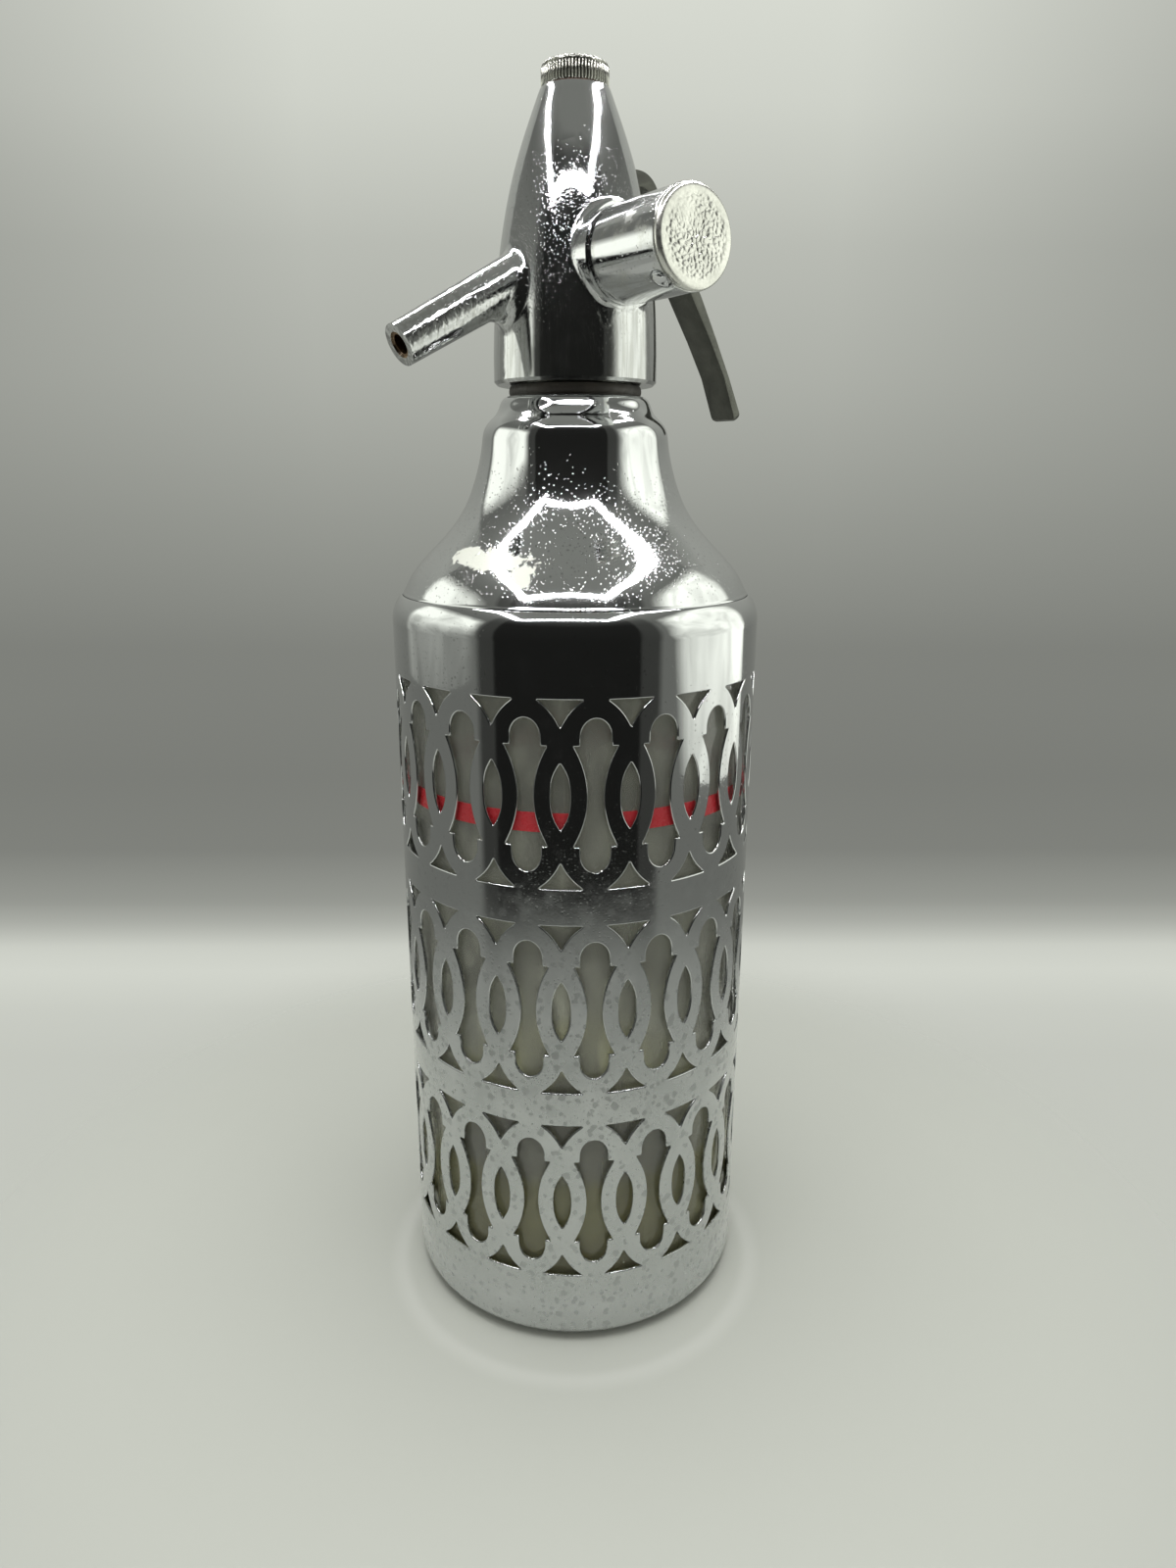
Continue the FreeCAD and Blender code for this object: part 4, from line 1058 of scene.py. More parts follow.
def thinned(rows):
    """Only the rows that the shape needs: close together round a corner and far apart on a straight."""
    kept = [rows[0]]
    for row in rows[1:-1]:
        turned_by = math.degrees(math.acos(max(-1.0, min(1.0, float(row[2:] @ kept[-1][2:])))))
        if turned_by > TURN_LIMIT or np.linalg.norm(row[:2] - kept[-1][:2]) > STEP_LIMIT:
            kept.append(row)
    if np.linalg.norm(kept[-1][:2] - rows[-1][:2]) < LAST_STEP and len(kept) > 2:
        kept.pop()
    return np.array(kept + [rows[-1]])


def closed_outline(half):
    """Both halves of an outline, run the same way round."""
    left = half[-2:0:-1] * (-1, 1, -1, 1)
    return np.vstack([half, left])


lens = closed_outline(softened(lens_half()))
wedges = [closed_outline(softened(wedge_half(side))) for side in (1, -1)]
bone = softened(bone_half())
bone_left = bone + (-TILE[0] / 2, 0, 0, 0)
bone_right = bone * (-1, 1, -1, 1) + (TILE[0] / 2, 0, 0, 0)
print("points round a lens", len(lens), "a wedge", len(wedges[0]), "half a bone", len(bone))

# %% [markdown]
# ## Sheet between the openings
# The sheet is filled with even triangles between the outlines, once for the outer skin and once, coarser,
# for the inner one. A mirror shows long thin triangles as streaks, so points of an even grid are added
# where there is room, and a constrained Delaunay triangulation joins them all.

# %% Sheet between the openings
BORDER_PARTS = 12                # divisions of a tile's width
TRIANGLE_RISE = 0.866            # height of an even triangle, as a share of its side
CLEAR_OF_EDGE = 0.45             # least distance of a grid point from an outline, as a share of the spacing
SKIN_STEP, BACK_STEP = 2.4, 4.0  # spacing of points on the outer and on the inner skin


def inside(point, loop):
    """Even-odd test of a point against a closed outline."""
    x, y = point
    ax, ay = loop[:, 0], loop[:, 1]
    bx, by = np.roll(ax, -1), np.roll(ay, -1)
    crossed = (ay > y) != (by > y)
    at = ax + (y - ay) * (bx - ax) / np.where(crossed, by - ay, 1.0)
    return bool(np.count_nonzero(crossed & (x < at)) % 2)


def on_sheet(point, border, openings):
    """Whether a point lies inside the border and in none of the openings."""
    return inside(point, border) and not any(inside(point, hole) for hole in openings)


def tile_border(offset):
    """Outline of a tile: half a bone at each side, and straight lines between them."""
    wide, tall = TILE[0] / 2, TILE[1] / 2
    bone_edge = bone_left[:, :2] + offset * bone_left[:, 2:]
    upright = np.linspace(bone_edge[0, 1], tall, 5)
    left = [(-wide, z) for z in upright[::-1]] + list(bone_edge[1:-1]) + [(-wide, -z) for z in upright]
    right = [(-u, z) for u, z in reversed(left)]
    across = np.linspace(-wide, wide, BORDER_PARTS + 1)[1:-1]
    return np.array(left + [(u, -tall) for u in across] + right + [(u, tall) for u in across[::-1]])


def grid_points(border, openings, walls, spacing):
    """Points of an even grid on the sheet, clear of every outline."""
    wide, tall = TILE[0] / 2, TILE[1] / 2
    found = []
    for row, z in enumerate(np.arange(-tall + spacing / 2, tall, spacing * TRIANGLE_RISE)):
        for u in np.arange(-wide + spacing / (1 if row % 2 else 2), wide, spacing):
            near = np.min(np.hypot(walls[:, 0] - u, walls[:, 1] - z))
            if near > CLEAR_OF_EDGE * spacing and on_sheet((u, z), border, openings):
                found.append((float(u), float(z)))
    return found


print("points round a tile", len(tile_border(0.0)))


# %% Triangles of the sheet
def skin(offset, spacing):
    """Triangles of the sheet between the openings, whose outlines stand back by an offset."""
    openings = [loop[:, :2] + offset * loop[:, 2:] for loop in [lens] + wedges]
    border = tile_border(offset)
    points, edges = [], []
    for loop in openings + [border]:
        first = len(points)
        points += [(float(u), float(z)) for u, z in loop]
        edges += [(i, i + 1) for i in range(first, len(points) - 1)]
        edges.append((len(points) - 1, first))
    points += grid_points(border, openings, np.array(points), spacing)
    made = geometry.delaunay_2d_cdt([Vector(p) for p in points], edges, [], 0, 1e-5)
    spots = [tuple(p) for p in made[0]]
    kept = []
    for face in made[2]:
        corners = np.array([spots[i] for i in face])
        if on_sheet(corners.mean(axis=0), border, openings):
            (ax, ay), (bx, by), (cx, cy) = corners
            left_hand = (bx - ax) * (cy - ay) - (by - ay) * (cx - ax) > 0
            kept.append(list(face) if left_hand else list(face)[::-1])
    return spots, kept


print("grid points keep off an outline by mm", CLEAR_OF_EDGE * SKIN_STEP)

# %% [markdown]
# ## One tile of the pattern
# A punched edge is soft and catches light, so every opening gets a rim from rings of points that bend
# inwards. A bevel modifier would round the back edge too. Each point also keeps the direction that the
# sheet faces there, so that the wall can be shaded as a true cylinder, whatever its triangles do.

# %% One tile of the pattern
RIM = 0.40                       # rounding of a punched edge
HALF_WAY = RIM * (1 - math.sqrt(0.5))
RIM_RINGS = (                    # set back on the sheet, depth in it, and how far it has tipped over
    (RIM, 0.0, 0.0), (HALF_WAY, HALF_WAY, 45.0), (0.0, RIM, 90.0), (0.0, SHEET, 90.0))
SKINS = (                        # set back, depth in the sheet, spacing of points, and way it faces
    (RIM, 0.0, SKIN_STEP, 1), (0.0, SHEET, BACK_STEP, -1))
RIMMED = (                       # outlines, and whether they close within the tile
    (lens, True), (wedges[0], True), (wedges[1], True), (bone_left, False), (bone_right, False))


def build_tile():
    """Mesh of one tile on the can, centred on a lens at azimuth 0, with the way it faces at each point."""
    verts, leans, faces = [], [], []

    def place(u, z, depth, lean):
        angle, radius = u / can_r, (can_r - depth) * MM
        verts.append((radius * math.sin(angle), -radius * math.cos(angle), z * MM))
        leans.append(lean)

    for offset, depth, spacing, way in SKINS:
        first = len(verts)
        spots, triangles = skin(offset, spacing)
        for u, z in spots:
            place(u, z, depth, (0, 0, way))
        faces += [[first + i for i in t[::way]] for t in triangles]
    for outline, shut in RIMMED:
        count = len(outline)
        starts = []
        for offset, depth, tip in RIM_RINGS:
            starts.append(len(verts))
            c, s = math.cos(math.radians(tip)), math.sin(math.radians(tip))
            for u, z, out_u, out_z in outline:
                place(u + offset * out_u, z + offset * out_z, depth, (-s * out_u, -s * out_z, c))
        for a, b in zip(starts, starts[1:]):
            for i in range(count if shut else count - 1):
                j = (i + 1) % count
                face = [a + i, b + i, b + j, a + j]
                faces.append(face[::-1] if outline is bone_right else face)
    mesh = bpy.data.meshes.new("can_tile")
    mesh.from_pydata(verts, [], faces)
    keep_leans(mesh, np.array(leans))
    return mesh


def keep_leans(mesh, leans):
    """Stores the way that the sheet faces at each point: sideways, upwards and outwards."""
    mesh.attributes.new("lean", "FLOAT_VECTOR", "POINT").data.foreach_set("vector", leans.ravel())


tile = build_tile()
print("tile faces", len(tile.polygons))

# %% [markdown]
# ## Tiles round the axis and up the can
# Geometry Nodes set the tile once for every column and row: a point for each, raised and turned by its
# number, and a copy of the tile on it. Array modifiers could do this as well, but a tree keeps its counts
# as inputs, and its last steps serve the ribs of the spring cap again. The copies are made real at the
# end and get their finish there.


# %% Start and end of a Geometry Nodes tree
def group_with(name, inputs):
    """Tree that takes a shape, the given inputs and a finish, with the outputs of its input node."""
    tree = bpy.data.node_groups.new(name, "GeometryNodeTree")
    for title, kind in (("Shape", "Geometry"), *inputs, ("Finish", "Material")):
        tree.interface.new_socket(title, in_out="INPUT", socket_type="NodeSocket" + kind)
    tree.interface.new_socket("Copies", in_out="OUTPUT", socket_type="NodeSocketGeometry")
    return tree, tree.nodes.new("NodeGroupInput").outputs


def set_copies(tree, given, points, turn):
    """Last steps of a tree: the shape on every point, turned, made real and given its finish."""
    euler = add_node(tree, "ShaderNodeCombineXYZ", {"Z": turn}).outputs[0]
    inputs = {"Points": points, "Instance": given["Shape"], "Rotation": euler}
    copies = add_node(tree, "GeometryNodeInstanceOnPoints", inputs).outputs[0]
    real = add_node(tree, "GeometryNodeRealizeInstances", {"Geometry": copies}).outputs[0]
    inputs = {"Geometry": real, "Material": given["Finish"]}
    dressed = add_node(tree, "GeometryNodeSetMaterial", inputs).outputs[0]
    add_node(tree, "NodeGroupOutput", {"Copies": dressed})


def grown(name, base, tree, values):
    """Plain mesh that a Geometry Nodes tree makes of a base mesh, with the tree's inputs set by name."""
    maker = bpy.data.objects.new(name + "_maker", base)
    bpy.context.scene.collection.objects.link(maker)
    modifier = maker.modifiers.new("grow", "NODES")
    modifier.node_group = tree
    for socket in tree.interface.items_tree:
        if socket.item_type == "SOCKET" and socket.in_out == "INPUT" and socket.name in values:
            modifier[socket.identifier] = values[socket.name]
    depsgraph = bpy.context.evaluated_depsgraph_get()
    ready = maker.evaluated_get(depsgraph)
    mesh = bpy.data.meshes.new_from_object(ready, preserve_all_data_layers=True, depsgraph=depsgraph)
    mesh.name = name
    bpy.data.objects.remove(maker)
    return mesh


print("finishes that a tree can give", len(bpy.data.materials))


# %% Geometry Nodes: the tile round the axis and up the can
def pattern_tree():
    """Sets a tile on the axis once for every column and row."""
    tree, given = group_with("pierced_pattern", (("Columns", "Int"), ("Rows", "Int"), ("First row", "Float"),
                                                 ("Row pitch", "Float"), ("First turn", "Float")))
    count = calculate(tree, "MULTIPLY", given["Columns"], given["Rows"])
    line = add_node(tree, "GeometryNodeMeshLine", {"Count": count, "Offset": (0, 0, 0)}).outputs[0]
    index = add_node(tree, "GeometryNodeInputIndex").outputs[0]
    row = calculate(tree, "FLOOR", calculate(tree, "DIVIDE", index, given["Columns"]))
    column_turn = calculate(tree, "DIVIDE", 2 * math.pi, given["Columns"])
    turn = calculate(tree, "MULTIPLY", index, column_turn)
    raised = calculate(tree, "MULTIPLY", row, given["Row pitch"])
    height = calculate(tree, "ADD", given["First row"], raised)
    spot = add_node(tree, "ShaderNodeCombineXYZ", {"Z": height}).outputs[0]
    placed = add_node(tree, "GeometryNodeSetPosition", {"Geometry": line, "Position": spot}).outputs[0]
    set_copies(tree, given, placed, calculate(tree, "ADD", turn, given["First turn"]))
    return tree


pattern = grown("can_pattern", tile, pattern_tree(), {
    "Columns": COLUMNS, "Rows": ROWS, "First row": ROW_MIDDLE * MM, "Row pitch": ROW_PITCH * MM,
    "First turn": math.radians(FIRST_TURN), "Finish": can_chrome})
print("pattern triangles", sum(len(p.vertices) - 2 for p in pattern.polygons))

# %% [markdown]
# ## Rolled foot and top of the can
# The foot of the sheet is rolled inwards to a soft ring that the can stands on, and its top bends in under
# the bell. Both are bands turned from an outline, with as many points round them as the pattern has, so
# that the three meshes can be joined point to point.

# %% Rolled foot and rolled top of the can
FOOT_ROUND = 6.0
SEAM_R = 54.4
TOP_BEND_Z = 230.0
BACK_OF_BEND = ((0, 0.0), (0.75, 4.7), (2.1, 7.2))     # inwards and upwards from where the bend starts
EDGE_ROLL = 0.40                                       # rounding of the sheet's upper edge
pattern_low = ROW_MIDDLE - ROW_PITCH / 2
pattern_high = pattern_low + ROWS * ROW_PITCH


def foot_outline():
    """Inner wall down, round the rolled foot and up the outer wall."""
    inner = can_r - SHEET
    middle = (can_r - FOOT_ROUND, can_low + FOOT_ROUND)
    points = [(inner, z) for z in np.linspace(pattern_low, middle[1], 7)]
    points += arc(middle, FOOT_ROUND - SHEET, 0, -90, 12)[1:]
    points += arc((middle[0], can_low + SHEET / 2), SHEET / 2, 90, 270, 6)[1:]
    points += arc(middle, FOOT_ROUND, -90, 0, 16)[1:]
    return points + [(can_r, z) for z in np.linspace(middle[1], pattern_low, 7)[1:]]


def top_outline():
    """Outer wall up, over the bend to the rim, round it and down the inner wall."""
    levels = np.linspace(pattern_high, TOP_BEND_Z, 5)
    start, seam = (can_r, TOP_BEND_Z), (SEAM_R + 0.25, can_high - 0.3)
    bend = arc_through(start, (can_r - 0.75, TOP_BEND_Z + 5.0), seam, 16)
    rim_middle = (bend[-1][0] - 0.30, bend[-1][1] - 0.30)
    outer = [(can_r, z) for z in levels] + bend[1:]
    back = [(can_r - SHEET - inwards, TOP_BEND_Z + rise) for inwards, rise in BACK_OF_BEND]
    inner = [(can_r - SHEET, z) for z in levels[:-1]]
    return outer + arc(rim_middle, EDGE_ROLL, 55, 225, 6)[1:] + (inner + back)[::-1]


def band_mesh(name, outline):
    """Turned band whose points keep the way that the outline faces."""
    segments = COLUMNS * BORDER_PARTS
    mesh = turned_mesh(name, outline, segments, closed=False, turn=FIRST_TURN - 180 / COLUMNS)
    run = np.gradient(np.array(outline), axis=0)
    run /= np.linalg.norm(run, axis=1)[:, None]
    lean = np.stack([np.zeros(len(run)), -run[:, 0], run[:, 1]], axis=1)
    lean[[0, -1]] = np.round(lean[[0, -1]])
    keep_leans(mesh, np.repeat(lean, segments, 0))
    return mesh


foot, top = band_mesh("foot", foot_outline()), band_mesh("top", top_outline())
print("faces of the foot", len(foot.polygons), "of the top", len(top.polygons))

# %% [markdown]
# ## Shading of the can
# The three meshes become one, and its normals are set from the stored directions. Blender could work them
# out from the faces, but then every row of triangles would show as a faint facet in the mirror. Only the
# edge at the back of the sheet stays sharp.


# %% The can in one piece
def join_meshes(name, meshes):
    """One mesh of several, with the points that meet merged."""
    work = bmesh.new()
    for mesh in meshes:
        work.from_mesh(mesh)
    bmesh.ops.remove_doubles(work, verts=work.verts, dist=0.01 * MM)
    joined = bpy.data.meshes.new(name)
    work.to_mesh(joined)
    work.free()
    return joined


def shade_by_lean(mesh):
    """Shades a mesh round the axis by the ways stored at its points, kept sharp at the back of the sheet."""
    count = len(mesh.vertices)
    spots, leans = np.empty(count * 3), np.empty(count * 3)
    mesh.vertices.foreach_get("co", spots)
    mesh.attributes["lean"].data.foreach_get("vector", leans)
    spots, leans = spots.reshape(-1, 3), leans.reshape(-1, 3)
    reach = np.hypot(spots[:, 0], spots[:, 1])
    out = np.stack([spots[:, 0] / reach, spots[:, 1] / reach, np.zeros(count)], axis=1)
    side = np.stack([-out[:, 1], out[:, 0], np.zeros(count)], axis=1)
    normals = leans[:, :1] * side + leans[:, 1:2] * np.array([0, 0, 1.0]) + leans[:, 2:] * out
    corner_normals = []
    for face in mesh.polygons:
        ways = normals[list(face.vertices)]
        outs = out[list(face.vertices)]
        back = float(np.array(face.normal) @ outs.mean(axis=0)) < -0.9
        level = np.abs((ways * outs).sum(axis=1)) < 0.2
        corner_normals += [-o if back and flat else w for w, o, flat in zip(ways, outs, level)]
    mesh.shade_smooth()
    mesh.normals_split_custom_set([tuple(n) for n in corner_normals])


can_mesh = join_meshes("pierced_can", [pattern, foot, top])
shade_by_lean(can_mesh)
piece("pierced_can", can_mesh, "bottle", can_chrome, ["jacket_body"])
print("can triangles", sum(len(p.vertices) - 2 for p in can_mesh.polygons))

# %% [markdown]
# ## Bell over the shoulder
# The bell is spun from sheet and polished, and it is the mirror that shows the lamps. Its flank is one
# cubic spline through seven points. The engineering model has more points on the same line, and a mirror
# shows every one of them, so the fewer points the better. It is a real shell: the inner line is the outer
# one moved in by the sheet, and a skirt stands inside the can.

# %% Bell
BELL_SHEET = 0.8
BELL_LINE = [(53.7, 239.2), (50.6, 244.8), (45.0, 251.2), (38.9, 257.6), (34.0, 264.6), (30.8, 272.5),
             (28.4, 283.0)]
COLLAR_LINE = [(28.15, 285.0), (27.5, 287.3), (25.9, 289.5), (24.1, 291.3), (23.0, 293.3), (22.3, 295.0),
               (21.2, 296.15), (19.8, 296.5)]
SKIRT_R, SKIRT_LOW = 53.4, 235.0
SKIRT = [(SKIRT_R, SKIRT_LOW), (SKIRT_R, 238.0), (53.7, 238.45), (53.97, 238.62), (53.99, 238.85)]
LIP_R = 18.0


def bell_outline():
    """Skirt, flank and collar from outside, then back along the inner wall."""
    outer = smooth_line(BELL_LINE + COLLAR_LINE, 0.55)
    inner = [p for p in parallel(outer, BELL_SHEET) if p[0] > LIP_R + 0.6]
    lip = [(LIP_R, outer[-1][1]), (LIP_R, outer[-1][1] - BELL_SHEET)]
    skirt_back = [(SKIRT_R - BELL_SHEET, 238.3), (SKIRT_R - BELL_SHEET, SKIRT_LOW)]
    return SKIRT + outer + lip + inner[::-1] + skirt_back


bell_mesh = finish_mesh(turned_mesh("shoulder_bell", bell_outline(), 256), 50)
piece("shoulder_bell", bell_mesh, "bottle", bell_chrome, ["jacket_shoulder"])
print("bell points in its outline", len(bell_outline()))

# %% [markdown]
# ## Head
# The head is one casting with a boss for the holder and a root for the spout, and its rounds are the work
# of the engineering model. Its shape is kept. Only the cone is drawn again as a spline with five points:
# each point of a copy moves in or out by the small difference, and the way that the surface faces there
# turns with it, so that the lamps run down the cone as clean lines.

# %% Copies of engineering meshes
CONE_AS_CAST = [(24.3, 306.0), (24.2, 313.0), (23.7, 320.0), (22.5, 330.5), (20.9, 342.9), (19.2, 350.6),
                (16.7, 358.2), (15.2, 363.2), (13.7, 368.1), (11.2, 374.6), (10.0, 377.0)]
CONE_FAIRED = [(24.3, 306.0), (23.8, 319.0), (21.6, 338.0), (17.2, 357.5), (10.0, 377.0)]
CONE_WALL = (4.0, 3.0)           # the change ends so deep inside the cone, and fades over the second depth
CONE_REACH = (7.0, 5.5)          # and so far outside it, on the boss and the spout


def merged_copy(node):
    """Corners merged by place: points in millimetres, triangles, and the way each corner faces."""
    mesh = nodes[node].data
    count = len(mesh.loops)
    spots, ways, corner = np.empty(len(mesh.vertices) * 3), np.empty(count * 3), np.empty(count, int)
    mesh.vertices.foreach_get("co", spots)
    mesh.corner_normals.foreach_get("vector", ways)
    mesh.loops.foreach_get("vertex_index", corner)
    grid = np.round(spots.reshape(-1, 3) / MM, 4)
    points, index = np.unique(grid, axis=0, return_inverse=True)
    faces = index.reshape(-1)[corner].reshape(-1, 3)
    whole = (faces[:, 0] != faces[:, 1]) & (faces[:, 1] != faces[:, 2]) & (faces[:, 2] != faces[:, 0])
    return points, faces[whole], ways.reshape(-1, 3, 3)[whole]


def outline_radius(points):
    """Radius of a splined outline at given heights."""
    line = np.array(smooth_line(points, 0.2))
    return lambda heights: np.interp(heights, line[:, 1], line[:, 0])


print("points on the cone", len(CONE_FAIRED), "as cast", len(CONE_AS_CAST))


# %% Head with a fairer cone
def faired_head():
    """Copy of the head whose cone follows the fairer outline."""
    points, faces, ways = merged_copy("head_casting")
    before, after = outline_radius(CONE_AS_CAST), outline_radius(CONE_FAIRED)

    def shift(heights):
        inside_cone = (heights > CONE_FAIRED[0][1]) & (heights < CONE_FAIRED[-1][1])
        return np.where(inside_cone, after(heights) - before(heights), 0.0)

    def share(reach, heights):
        """1 on the cone's own skin, falling to 0 in its bores and out on the boss and the spout."""
        past = reach - before(heights)
        from_within = np.clip((past + CONE_WALL[0]) / CONE_WALL[1], 0, 1)
        return from_within * np.clip((CONE_REACH[0] - past) / CONE_REACH[1], 0, 1)

    reach = np.maximum(np.hypot(points[:, 0], points[:, 1]), 1e-6)
    weight = share(reach, points[:, 2])
    slope = (shift(points[:, 2] + 0.3) - shift(points[:, 2] - 0.3)) / 0.6
    radial = np.stack([points[:, 0] / reach, points[:, 1] / reach, np.zeros(len(points))], axis=1)
    moved = points + radial * (weight * shift(points[:, 2]))[:, None]
    out = radial[faces]
    facing_out = (ways * out).sum(axis=2)
    ways = ways.copy()
    ways[:, :, 2] -= (slope * weight)[faces] * facing_out
    ways /= np.linalg.norm(ways, axis=2)[:, :, None]
    mesh = bpy.data.meshes.new("head_body")
    mesh.from_pydata(moved * MM, [], faces)
    mesh.shade_smooth()
    mesh.normals_split_custom_set(ways.reshape(-1, 3))
    return mesh


head = piece("head_body", faired_head(), "head", head_chrome, ["head_casting"])
print("head triangles", len(head.data.polygons))

# %% [markdown]
# ## Charger holder
# The holder is a turned sleeve that screws on the boss, staked to its end cap by two round dimples. Its
# front lip laps over the edge of the boss. The sleeve is turned like the bell, on an axis that points
# straight out of the head, and every point of its wall near a dimple is pressed in to a ball's shape. A
# boolean with a ball would leave a hard edge, and the real dimples have a soft one.

# %% Sleeve with its two dimples
HOLDER_Z = 331.9                 # height of the holder's axis
SLEEVE_R, SLEEVE_START, SLEEVE_END = 12.75, 24.15, 51.5
DIMPLE_OUT, DIMPLE_TURNS = 48.9, (-127.0, 53.0)
DIMPLE_BALL, DIMPLE_DEPTH, DIMPLE_SOFT = 3.1, 1.6, 0.12
BULB_R, BULB_BORE_END = 9.7, 38.2         # the outer bore takes the charger
BOSS_R, BOSS_BORE_END = 11.28, 25.0       # the inner one screws on the boss
SLEEVE_SEGMENTS = 256


def along_holder(mesh):
    """Lays a mesh that was turned round the upright axis along the holder's own axis."""
    mesh.transform(Matrix.Translation((0, 0, HOLDER_Z * MM)) @ Matrix.Rotation(math.pi / 2, 4, "X"))
    return mesh


def sleeve_outline():
    """Front lip, wall, back edge and the two bores, as (radius, distance out) on the holder's axis."""
    fine = list(np.arange(DIMPLE_OUT - 3.0, SLEEVE_END - 0.35, 0.25))
    wall = list(np.linspace(SLEEVE_START + 0.15, DIMPLE_OUT - 3.4, 12)) + fine
    front = [(SLEEVE_R - 0.15, SLEEVE_START), (SLEEVE_R - 0.04, SLEEVE_START + 0.04)]
    back = [(SLEEVE_R, SLEEVE_END - 0.3), (SLEEVE_R - 0.08, SLEEVE_END - 0.08), (SLEEVE_R - 0.3, SLEEVE_END)]
    bore = [(BULB_R, SLEEVE_END), (BULB_R, BULB_BORE_END), (BOSS_R, BULB_BORE_END), (BOSS_R, BOSS_BORE_END),
            (SLEEVE_R - 0.15, BOSS_BORE_END)]
    return front + [(SLEEVE_R, s) for s in wall] + back + bore


def dimple_depth(turn, out):
    """How far the wall is pressed in at a place on it; turn in degrees from +X, out in millimetres."""
    pressed = 0.0
    for middle in DIMPLE_TURNS:
        around = SLEEVE_R * math.radians((turn - middle + 180) % 360 - 180)
        reach = math.hypot(around, out - DIMPLE_OUT)
        if reach < DIMPLE_BALL:
            ball = math.sqrt(DIMPLE_BALL ** 2 - reach ** 2) - (DIMPLE_BALL - DIMPLE_DEPTH)
            pressed = max(pressed, 0.5 * (ball + math.hypot(ball, DIMPLE_SOFT)))
    return pressed


def make_sleeve():
    """Turned sleeve with its two dimples pressed in."""
    mesh = turned_mesh("charger_holder", sleeve_outline(), SLEEVE_SEGMENTS)
    for vert in mesh.vertices:
        x, y, out = vert.co / MM
        if math.hypot(x, y) > SLEEVE_R - 0.05:
            pressed = dimple_depth(math.degrees(math.atan2(y, x)), out)
            scale = 1 - pressed / math.hypot(x, y)
            vert.co.x *= scale
            vert.co.y *= scale
    return finish_mesh(along_holder(mesh), 40)


sleeve = piece("charger_holder", make_sleeve(), "holder", holder_chrome, ["charger_sleeve"])
print("sleeve faces", len(sleeve.data.polygons))

# %% [markdown]
# ## Embossed end cap
# The end cap is a pressing with a crumpled field inside a smooth rim. A bump map would do from far off,
# but the relief is deep enough to break the rim's shadow, so it is real: the face is a dense disc, and
# a field of tilted cells lifts its points.

# %% End cap
CAP_RIM = [(12.4, 51.65), (12.65, 52.0), (12.66, 52.3), (12.52, 52.75), (12.2, 53.12), (11.85, 53.32),
           (11.45, 53.4)]
CAP_STUB = [(0.0, 51.5), (8.2, 51.5), (8.2, 48.6), (9.65, 48.6), (9.65, 51.65)]
RELIEF_R, RELIEF_FADE = 10.5, 1.2
RELIEF_SIZE, RELIEF_DEPTH = 1.35, 0.26
EMPTY_SIDE, EMPTY_REACH = (-4.0, 5.5), 7.0     # the field thins out round this place
CREASE_WIDTH, CREASE_SHARE, TILT_SHARE = 2.6, 0.7, 1.3
TOSS_SIZE = 9.1                  # spreads the cells' middles, so that each cell gets a tilt of its own


def crumple(x, y):
    """Height of the embossed field: small tilted facets with creases between them."""
    place = Vector((x / RELIEF_SIZE, y / RELIEF_SIZE, 0.3))
    near, spots = noise.voronoi(place)
    crease = min(1.0, CREASE_WIDTH * (near[1] - near[0]))
    toss = noise.cell_vector(spots[0] * TOSS_SIZE)
    tilt = (place.x - spots[0].x) * (toss.x - 0.5) + (place.y - spots[0].y) * (toss.y - 0.5)
    full = min(1.0, math.hypot(x - EMPTY_SIDE[0], y - EMPTY_SIDE[1]) / EMPTY_REACH)
    return RELIEF_DEPTH * full * (CREASE_SHARE * (crease - 1.0) + TILT_SHARE * tilt)


def make_end_cap():
    """Turned end cap, its face lifted into the crumpled field."""
    rings = [(r, CAP_RIM[-1][1]) for r in np.arange(11.2, 0.2, -0.24)]
    mesh = turned_mesh("end_cap", CAP_STUB + CAP_RIM + rings + [(0.0, CAP_RIM[-1][1])], 192)
    for vert in mesh.vertices:
        x, y, out = vert.co / MM
        reach = math.hypot(x, y)
        if out > CAP_RIM[-1][1] - 0.01 and reach < RELIEF_R:
            vert.co.z += crumple(x, y) * min(1.0, (RELIEF_R - reach) / RELIEF_FADE) * MM
    return finish_mesh(along_holder(mesh), 60)


end_cap = piece("end_cap", make_end_cap(), "holder", plain_finish["cast_grey"], ["charger_end_cap"])
print("end cap faces", len(end_cap.data.polygons))

# %% [markdown]
# ## Knurled cap over the spring
# The cap is a small casting with a rough dome and a ribbed side, which a thumb turns to free the spring.
# The body is turned from one outline, and a fine noise lifts the points of the dome, outwards as well as
# upwards, so that its edge is uneven against the light. The lift is held below the cap's own height.

# %% Knurled cap: body and dome
CAP_LOW, CAP_TOP, CAP_BODY_R, CAP_R = 377.45, 383.5, 9.10, 9.6
CAP_SCREW = [(0.0, 369.8), (4.2, 369.8), (4.2, 368.55), (6.6, 368.55), (6.95, 368.9), (6.95, CAP_LOW)]
CAP_SIDE = [(8.9, CAP_LOW), (CAP_BODY_R, CAP_LOW + 0.25), (CAP_BODY_R, 381.6)]
CAP_DOME = [(9.14, 382.0), (9.34, 382.5), (9.34, 382.85), (9.05, 383.15), (8.5, 383.33), (6.0, 383.38),
            (0.0, 383.4)]
DOME_GRAIN, DOME_LIFT = 0.62, 0.22
DOME_LIMITS = (-1.0, 0.6)        # hollows may be deeper than the lumps are high


def noise_at(place, size):
    """Fractal noise at a point in millimetres, for features of a given size."""
    return noise.fractal(Vector(place) / size, 0.6, 2.0, 3)


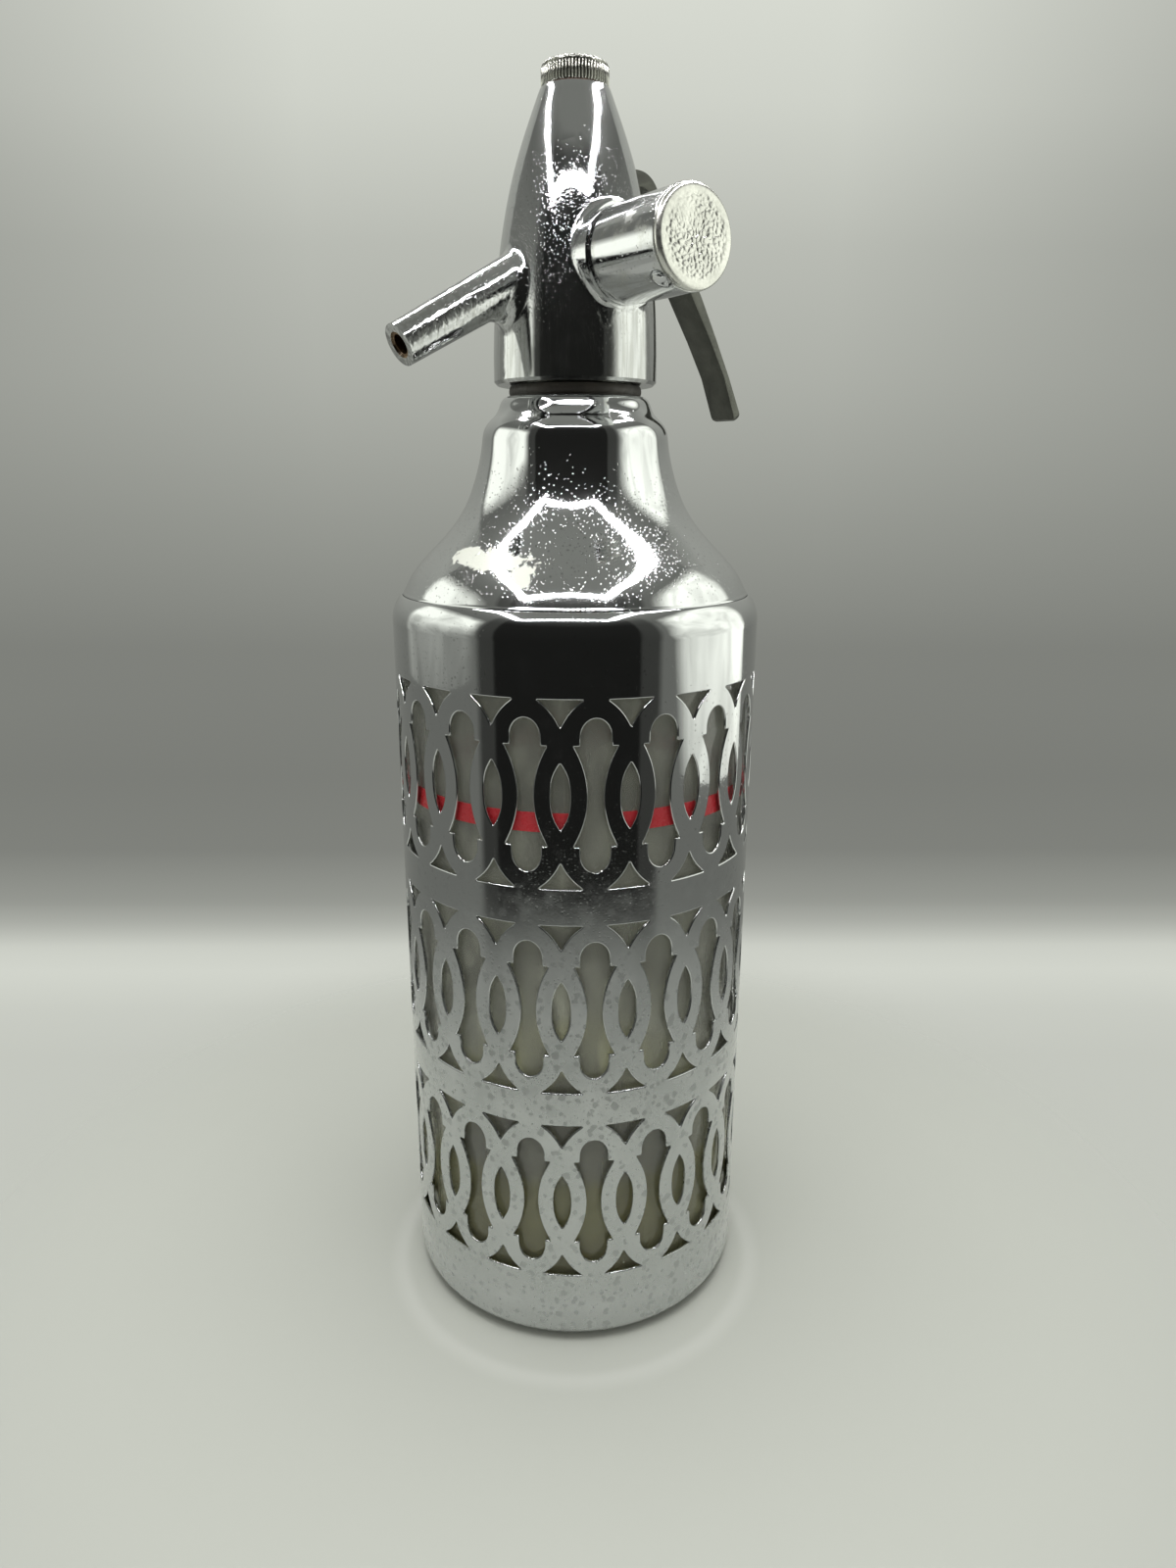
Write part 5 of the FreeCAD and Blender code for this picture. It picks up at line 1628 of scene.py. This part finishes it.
def make_cap_body():
    """Turned cap with a rough dome."""
    dome = smooth_line(CAP_DOME, 0.26)
    mesh = turned_mesh("spring_cap", CAP_SCREW + CAP_SIDE + dome[:-1] + [(0.0, CAP_DOME[-1][1])], 160)
    for vert in mesh.vertices:
        x, y, z = vert.co / MM
        reach = math.hypot(x, y)
        if z > CAP_DOME[0][1] - 0.01 and reach > 0.1:
            rough = noise_at((x, y, z), DOME_GRAIN)
            lift = DOME_LIFT * max(DOME_LIMITS[0], min(DOME_LIMITS[1], rough))
            vert.co.z += min(lift, CAP_TOP - 0.02 - z) * MM
            vert.co.x += lift * x / reach * MM
            vert.co.y += lift * y / reach * MM
    return finish_mesh(mesh, 60)


cap_body = piece("spring_cap", make_cap_body(), "cap", cap_zinc, ["knurled_cap"])
print("cap faces", len(cap_body.data.polygons))

# %% [markdown]
# ## Ribs of the knurled cap
# The ribs are alike and stand at even turns, so one is made and Geometry Nodes set it round the cap. A
# ribbed outline drawn up into a cap would give them square ends, and the cast ones slope off.

# %% Ribs by Geometry Nodes
CAP_RIBS = 64
RIB_LOW, RIB_HIGH, RIB_HALF = 377.55, 382.35, 0.25
RIB_ROOT = CAP_BODY_R - 0.05     # the foot of a rib stands inside the cap's wall


def rib_mesh():
    """One rib on the -Y side: a bar with a rounded back and sloped ends."""
    steps = 6
    back = [(RIB_HALF * math.cos(a), RIB_ROOT + (CAP_R - RIB_ROOT) * math.sin(a))
            for a in np.linspace(0, math.pi, steps)]
    levels = ((RIB_LOW, 0.0), (RIB_LOW + 0.3, 1.0), (RIB_HIGH - 0.35, 1.0), (RIB_HIGH, 0.0))
    verts, faces = [], []
    for z, full in levels:
        verts += [(u * MM, -(RIB_ROOT + (r - RIB_ROOT) * full) * MM, z * MM) for u, r in back]
    for k in range(len(levels) - 1):
        for i in range(steps - 1):
            a, b = k * steps + i, (k + 1) * steps + i
            faces.append((a, b, b + 1, a + 1))
    starts = [k * steps for k in range(len(levels))]
    faces.append(starts[::-1] + [first + steps - 1 for first in starts])
    mesh = bpy.data.meshes.new("rib")
    mesh.from_pydata(verts, [], faces)
    return finish_mesh(mesh, 60)


def ring_tree():
    """Sets a shape round the upright axis a number of times."""
    tree, given = group_with("set_round", [("Count", "Int")])
    line = add_node(tree, "GeometryNodeMeshLine", {"Count": given["Count"], "Offset": (0, 0, 0)}).outputs[0]
    index = add_node(tree, "GeometryNodeInputIndex").outputs[0]
    part = calculate(tree, "DIVIDE", 2 * math.pi, given["Count"])
    set_copies(tree, given, line, calculate(tree, "MULTIPLY", index, part))
    return tree


rib_zinc = plain_finish["rib_zinc"]
ribs_mesh = grown("cap_ribs", rib_mesh(), ring_tree(), {"Count": CAP_RIBS, "Finish": rib_zinc})
piece("cap_ribs", ribs_mesh, "cap", rib_zinc)
print("rib faces", len(ribs_mesh.polygons))

# %% [markdown]
# ## Lever
# The lever is a flat casting, and cast edges are never sharp: light runs along them as a thin line. Its
# copy is merged and freed of the lines that only split flat faces, and a small bevel rounds what is left.
# Rounding the normals alone would not move the outline.

# %% Lever with rounded edges
EDGE_ROUND = 0.45
SPLIT_ANGLE, EDGE_ANGLE = 1.0, 35        # in degrees: lines that only split a flat face, and true edges


def make_lever():
    """Merged copy of the lever with a small round on every edge."""
    points, faces, _ = merged_copy("lever")
    work = bmesh.new()
    made = [work.verts.new(p * MM) for p in points]
    for a, b, c in faces:
        work.faces.new((made[a], made[b], made[c]))
    work.normal_update()
    bmesh.ops.dissolve_limit(work, angle_limit=math.radians(SPLIT_ANGLE), verts=work.verts, edges=work.edges)
    paired = [e for e in work.edges if len(e.link_faces) == 2]
    sharp = [e for e in paired if e.calc_face_angle() > math.radians(EDGE_ANGLE)]
    bmesh.ops.bevel(work, geom=sharp, offset=EDGE_ROUND * MM, segments=2, profile=0.5, affect="EDGES",
                    clamp_overlap=True)
    mesh = bpy.data.meshes.new("lever_arm_casting")
    work.to_mesh(mesh)
    work.free()
    return finish_mesh(mesh, 40)


lever = piece("lever_casting", make_lever(), "lever_arm", plain_finish["lever_grey"], ["lever"])
print("lever faces", len(lever.data.polygons))

# %% [markdown]
# ## Spring over the lever's nose
# A coil spring under the cap presses the lever's nose down, and it shortens when the lever is squeezed. A
# stiff copy would let the plunger run into its coils. Here the copy is one merged mesh in bright steel, and
# it stays where the engineering model sets it.

# %% Spring under the cap
def make_spring():
    """Merged copy of the spring in bright steel."""
    points, faces, _ = merged_copy("valve_spring")
    mesh = bpy.data.meshes.new("lever_spring")
    mesh.from_pydata([tuple(p * MM) for p in points], [], faces.tolist())
    mesh.materials.append(plain_finish["stainless"])
    return finish_mesh(mesh, 50)


spring = bpy.data.objects.new("lever_spring", make_spring())
bpy.context.scene.collection.objects.link(spring)
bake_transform(spring)
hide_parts("valve_spring")
print("spring faces", len(spring.data.polygons))

# %% [markdown]
# ## Finish
